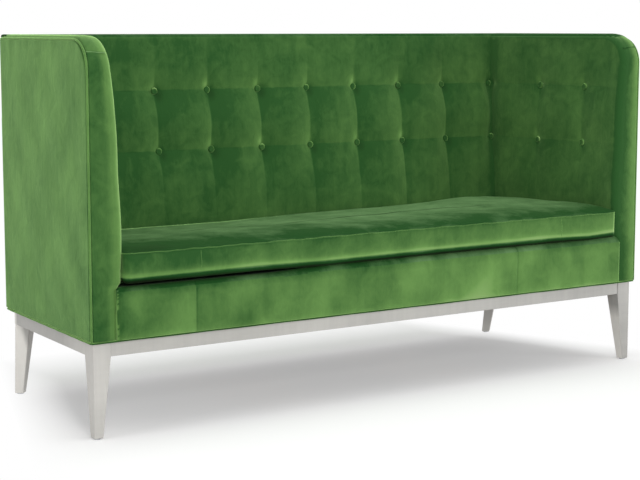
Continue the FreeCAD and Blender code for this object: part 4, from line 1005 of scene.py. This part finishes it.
def arm_band_seam(side):
    """The seam across the front band, just below the rounded top."""
    count = 20
    inset = np.linspace(0.0065, 0.060, count)
    height = 0.987 + 0.0015 * np.cos(np.linspace(0, np.pi, count))
    lift = height - (TOP - ARM_CORNER)
    y = FRONT + ARM_CORNER - np.sqrt(ARM_CORNER**2 - lift**2) - 0.0012 * np.sin(np.linspace(0.2, 2.9, count))
    # A painted highlight on the left arm's seam; the right one is duller.
    return tube("arm_band_seam_" + HANDS[side], arm_point(side, y, inset, height), 0.0011,
                lambda grid: 0.9 if side < 0 else 0.1, 6)


# The painted base.

LEG_OUT = HALF_FRONT - BASE_INSET * FLARE - BASE_INSET
LEG_NEAR = FRONT + BASE_INSET


def block(name, levels, width=0.002):
    """A solid through outlines of four corners from the top down, with ruled sides and rounded edges."""
    mesh = bpy.data.meshes.new(name)
    last = 4 * (len(levels) - 1)
    faces = [(0, 1, 2, 3), (last + 3, last + 2, last + 1, last)]
    for first in range(0, last, 4):
        faces += [(first + i, first + i + 4, first + (i + 1) % 4 + 4, first + (i + 1) % 4) for i in range(4)]
    mesh.from_pydata([tuple(point) for level in levels for point in level], [], faces)
    piece = link_piece(name, mesh)
    edge = piece.modifiers.new("edge", "BEVEL")
    edge.width, edge.segments, edge.limit_method = width, 3, "ANGLE"
    edge.angle_limit = math.radians(25)
    edge.harden_normals = True
    return piece


def front_leg_levels(side):
    def square(size, z):
        return [(side * (LEG_OUT - across), LEG_NEAR + along, z)
                for across, along in ((0, 0), (size, 0), (size, size), (0, size))]
    return [square(LEG_HEAD, BODY_LOW), square(LEG_HEAD, RAIL_LOW), square(LEG_FOOT, LEG_LOW)]


def back_leg_levels(side):
    reach = BACK_LEG_HEAD / math.sqrt(2)
    centre_y = BACK - BASE_INSET - reach
    centre_x = side * (HALF_FRONT - (centre_y - FRONT) * FLARE - BASE_INSET - reach)

    def diamond(size, shift, z):
        half = size / math.sqrt(2)
        return [(centre_x + x * half, centre_y + shift + y * half, z)
                for x, y in ((-1, 0), (0, -1), (1, 0), (0, 1))]
    return [diamond(BACK_LEG_HEAD, 0, BODY_LOW - 0.0003), diamond(BACK_LEG_HEAD, 0, RAIL_LOW),
            diamond(LEG_FOOT, BACK_LEG_RAKE, LEG_LOW)]


def rails():
    """The four base rails by name, each as the four corners of its plan."""
    deep = BASE_INSET + RAIL_THICK
    inner, leg_back = LEG_OUT - LEG_HEAD, LEG_NEAR + LEG_HEAD
    near, far, far_in, cut = LEG_NEAR + 0.0015, BACK - BASE_INSET, BACK - deep, 0.0285

    def at(y, inset):
        return float(half_width(y)) - inset
    plans = {
        "front_base_rail": [(-inner, near), (inner, near), (inner, FRONT + deep), (-inner, FRONT + deep)],
        "back_base_rail": [(-at(far, BASE_INSET + cut), far), (at(far, BASE_INSET + cut), far),
                           (at(far_in, deep), far_in), (-at(far_in, deep), far_in)]}
    for side, hand in HANDS.items():
        plans[hand + "_base_rail"] = [(side * at(y, inset), y) for y, inset in (
            (leg_back, BASE_INSET), (far - cut, BASE_INSET), (far_in, deep), (leg_back, deep))]
    return plans


# The whole.

PAINTED = {"material": PAINT, "slot": "painted_wood"}
TOP_BAND = TOP - 0.007

for side, hand in HANDS.items():
    cover = dress(arm_cover(side), "arm_front_band_" + hand, "arm_top_band_" + hand,
                  "inside_arm_pad_" + hand, fill=0.8)
    # Painted shade: the right arm's top band takes the dim velvet, darker and without the bright sheen rim.
    if side > 0:
        shade(cover, lambda x, y, z: z > TOP_BAND, DIM_VELVET)
    dress(outside_arm(side), "outside_arm_" + hand, fill=0.95)
    dress(arm_buttons(side), "arm_buttons_" + hand)
    dress(arm_welt(side), "arm_welt_" + hand)
    dress(arm_band_seam(side), material=DIM_VELVET)
    for place, levels in (("front", front_leg_levels), ("back", back_leg_levels)):
        leg = block("%s_leg_painted_%s" % (place, hand), levels(side))
        dress(leg, "%s_leg_%s" % (place, hand), **PAINTED)
back = dress(back_cover(), "inside_back_pad", "back_top_band", fill=0.8)
# Painted shade: the back's top band takes the dim velvet, darker and without the bright sheen rim.
shade(back, lambda x, y, z: z > TOP_BAND, DIM_VELVET)
dress(outside_back(), "outside_back", fill=0.95)
dress(back_buttons(), "back_buttons")
border = dress(front_border(), "front_border", fill=0.9)
# Painted shade: the border's top roll takes the dim velvet.
shade(border, lambda x, y, z: z > 0.384 + np.where(x < -0.3, -0.004, 0), DIM_VELVET)
shade(border, lambda x, y, z: (y > PROUD + 0.019) & (z > 0.380), DECKING)
dress(bottom_welt(), "bottom_edge_welt")
for name, plan in rails().items():
    levels = [[(x, y, z) for x, y in plan] for z in (BODY_LOW, RAIL_LOW)]
    dress(block(name + "_painted", levels, 0.0015), name, **PAINTED)

cushion = seat_cushion()
puff(cushion, 4.0, (0.003, 0.003, 0.009))
shape_and_shade_seat(cushion)
dress(cushion, "seat_cushion", fill=0.75, body="cushion")
# The dim velvet on the cushion's top, and as painted shade on the band below the ridge.
shade(cushion, lambda x, y, z: (z > SEAM_HIGH) | (z > 0.45) & ~on_outline(x, y) | (z < ridge(x, y) - 0.002),
      DIM_VELVET)
shade(cushion, lambda x, y, z: (z < SEAM_LOW - 0.008) & ~on_outline(x, y), DECKING)
# Painted shade: the shaded velvet, near black, on the lowest band round the underside's edge.
shade(cushion, lambda x, y, z: z < ridge(x, y) - 0.0180, CREVICE)
dress(cushion_seams(cushion), body="cushion")

# Floor, light and camera.

scene = bpy.context.scene
scene.view_settings.view_transform = "Standard"


def floor_material():
    """A pale floor: diffuse, so that it takes the shadow, with a share of plain white where it is seen,
    plain white away from the seat, and clear from below."""
    s = Shader("floor_white")
    x, y = s.axes()
    beside = s.spread(x.math("ABSOLUTE") + y * 0.35, 0.84, 1.02)
    away = beside.math("MAXIMUM", s.spread(y, 0.42, 0.80)).math("MAXIMUM", s.spread(y * -1, 1.2, 1.9))
    lit = s.node("ShaderNodeBsdfDiffuse", {}, {"Color": (0.8, 0.8, 0.8, 1)})
    glow, white = (s.node("ShaderNodeEmission", {}, {"Color": WHITE, "Strength": power})
                   for power in (0.25, 1.0))
    swept = s.mix(away, s.node("ShaderNodeAddShader", {}, {0: lit, 1: glow}), white)
    below = s.node("ShaderNodeNewGeometry", out="Backfacing")
    return s.close(s.mix(below, s.mix(s.shown(), lit, swept), s.node("ShaderNodeBsdfTransparent")))


ground = bpy.data.meshes.new("floor")
ground.from_pydata([(-60, -60, 0), (60, -60, 0), (60, 60, 0), (-60, 60, 0)], [], [(0, 1, 2, 3)])
floor = bpy.data.objects.new("floor", ground)
scene.collection.objects.link(floor)
ground.materials.append(floor_material())

sky = Shader("studio", world=True)
fill, bright = (sky.node("ShaderNodeBackground", {}, {"Color": WHITE, "Strength": power})
                for power in (0.42, 1.0))
scene.world = sky.close(sky.mix(sky.shown(), fill, bright))


def lamp(name, place, target, size, power):
    data = bpy.data.lights.new(name, "AREA")
    data.shape, data.size, data.size_y = "RECTANGLE", *size
    data.energy = power
    light = bpy.data.objects.new(name, data)
    light.location = place
    light.rotation_mode = "QUATERNION"
    light.rotation_quaternion = Vector(np.array(target) - np.array(place)).to_track_quat("-Z", "Y")
    scene.collection.objects.link(light)


lamp("overhead", (0.3, -0.3, 4.0), (0, 0, 0.3), (4.0, 3.0), 75)
lamp("left_front", (-2.6, -5.2, 2.5), (0, 0, 0.5), (1.6, 1.6), 110)
lamp("left_side", (-5.0, -0.6, 1.2), (-0.6, 0, 0.5), (2.0, 2.0), 40)
lamp("right_front", (3.6, -4.2, 0.9), (0.0, 0.1, 0.7), (1.8, 1.6), 75)

eye = bpy.data.cameras.new("photo_view")
eye.sensor_width = 36.0
eye.lens = 92.9
eye.clip_end = 200
camera = bpy.data.objects.new("photo_view", eye)
camera.location = (-2.77944, -4.04949, 1.04679)
camera.rotation_euler = (math.pi / 2 - 0.127645, 0.0, -0.595945)
scene.collection.objects.link(camera)
scene.camera = camera
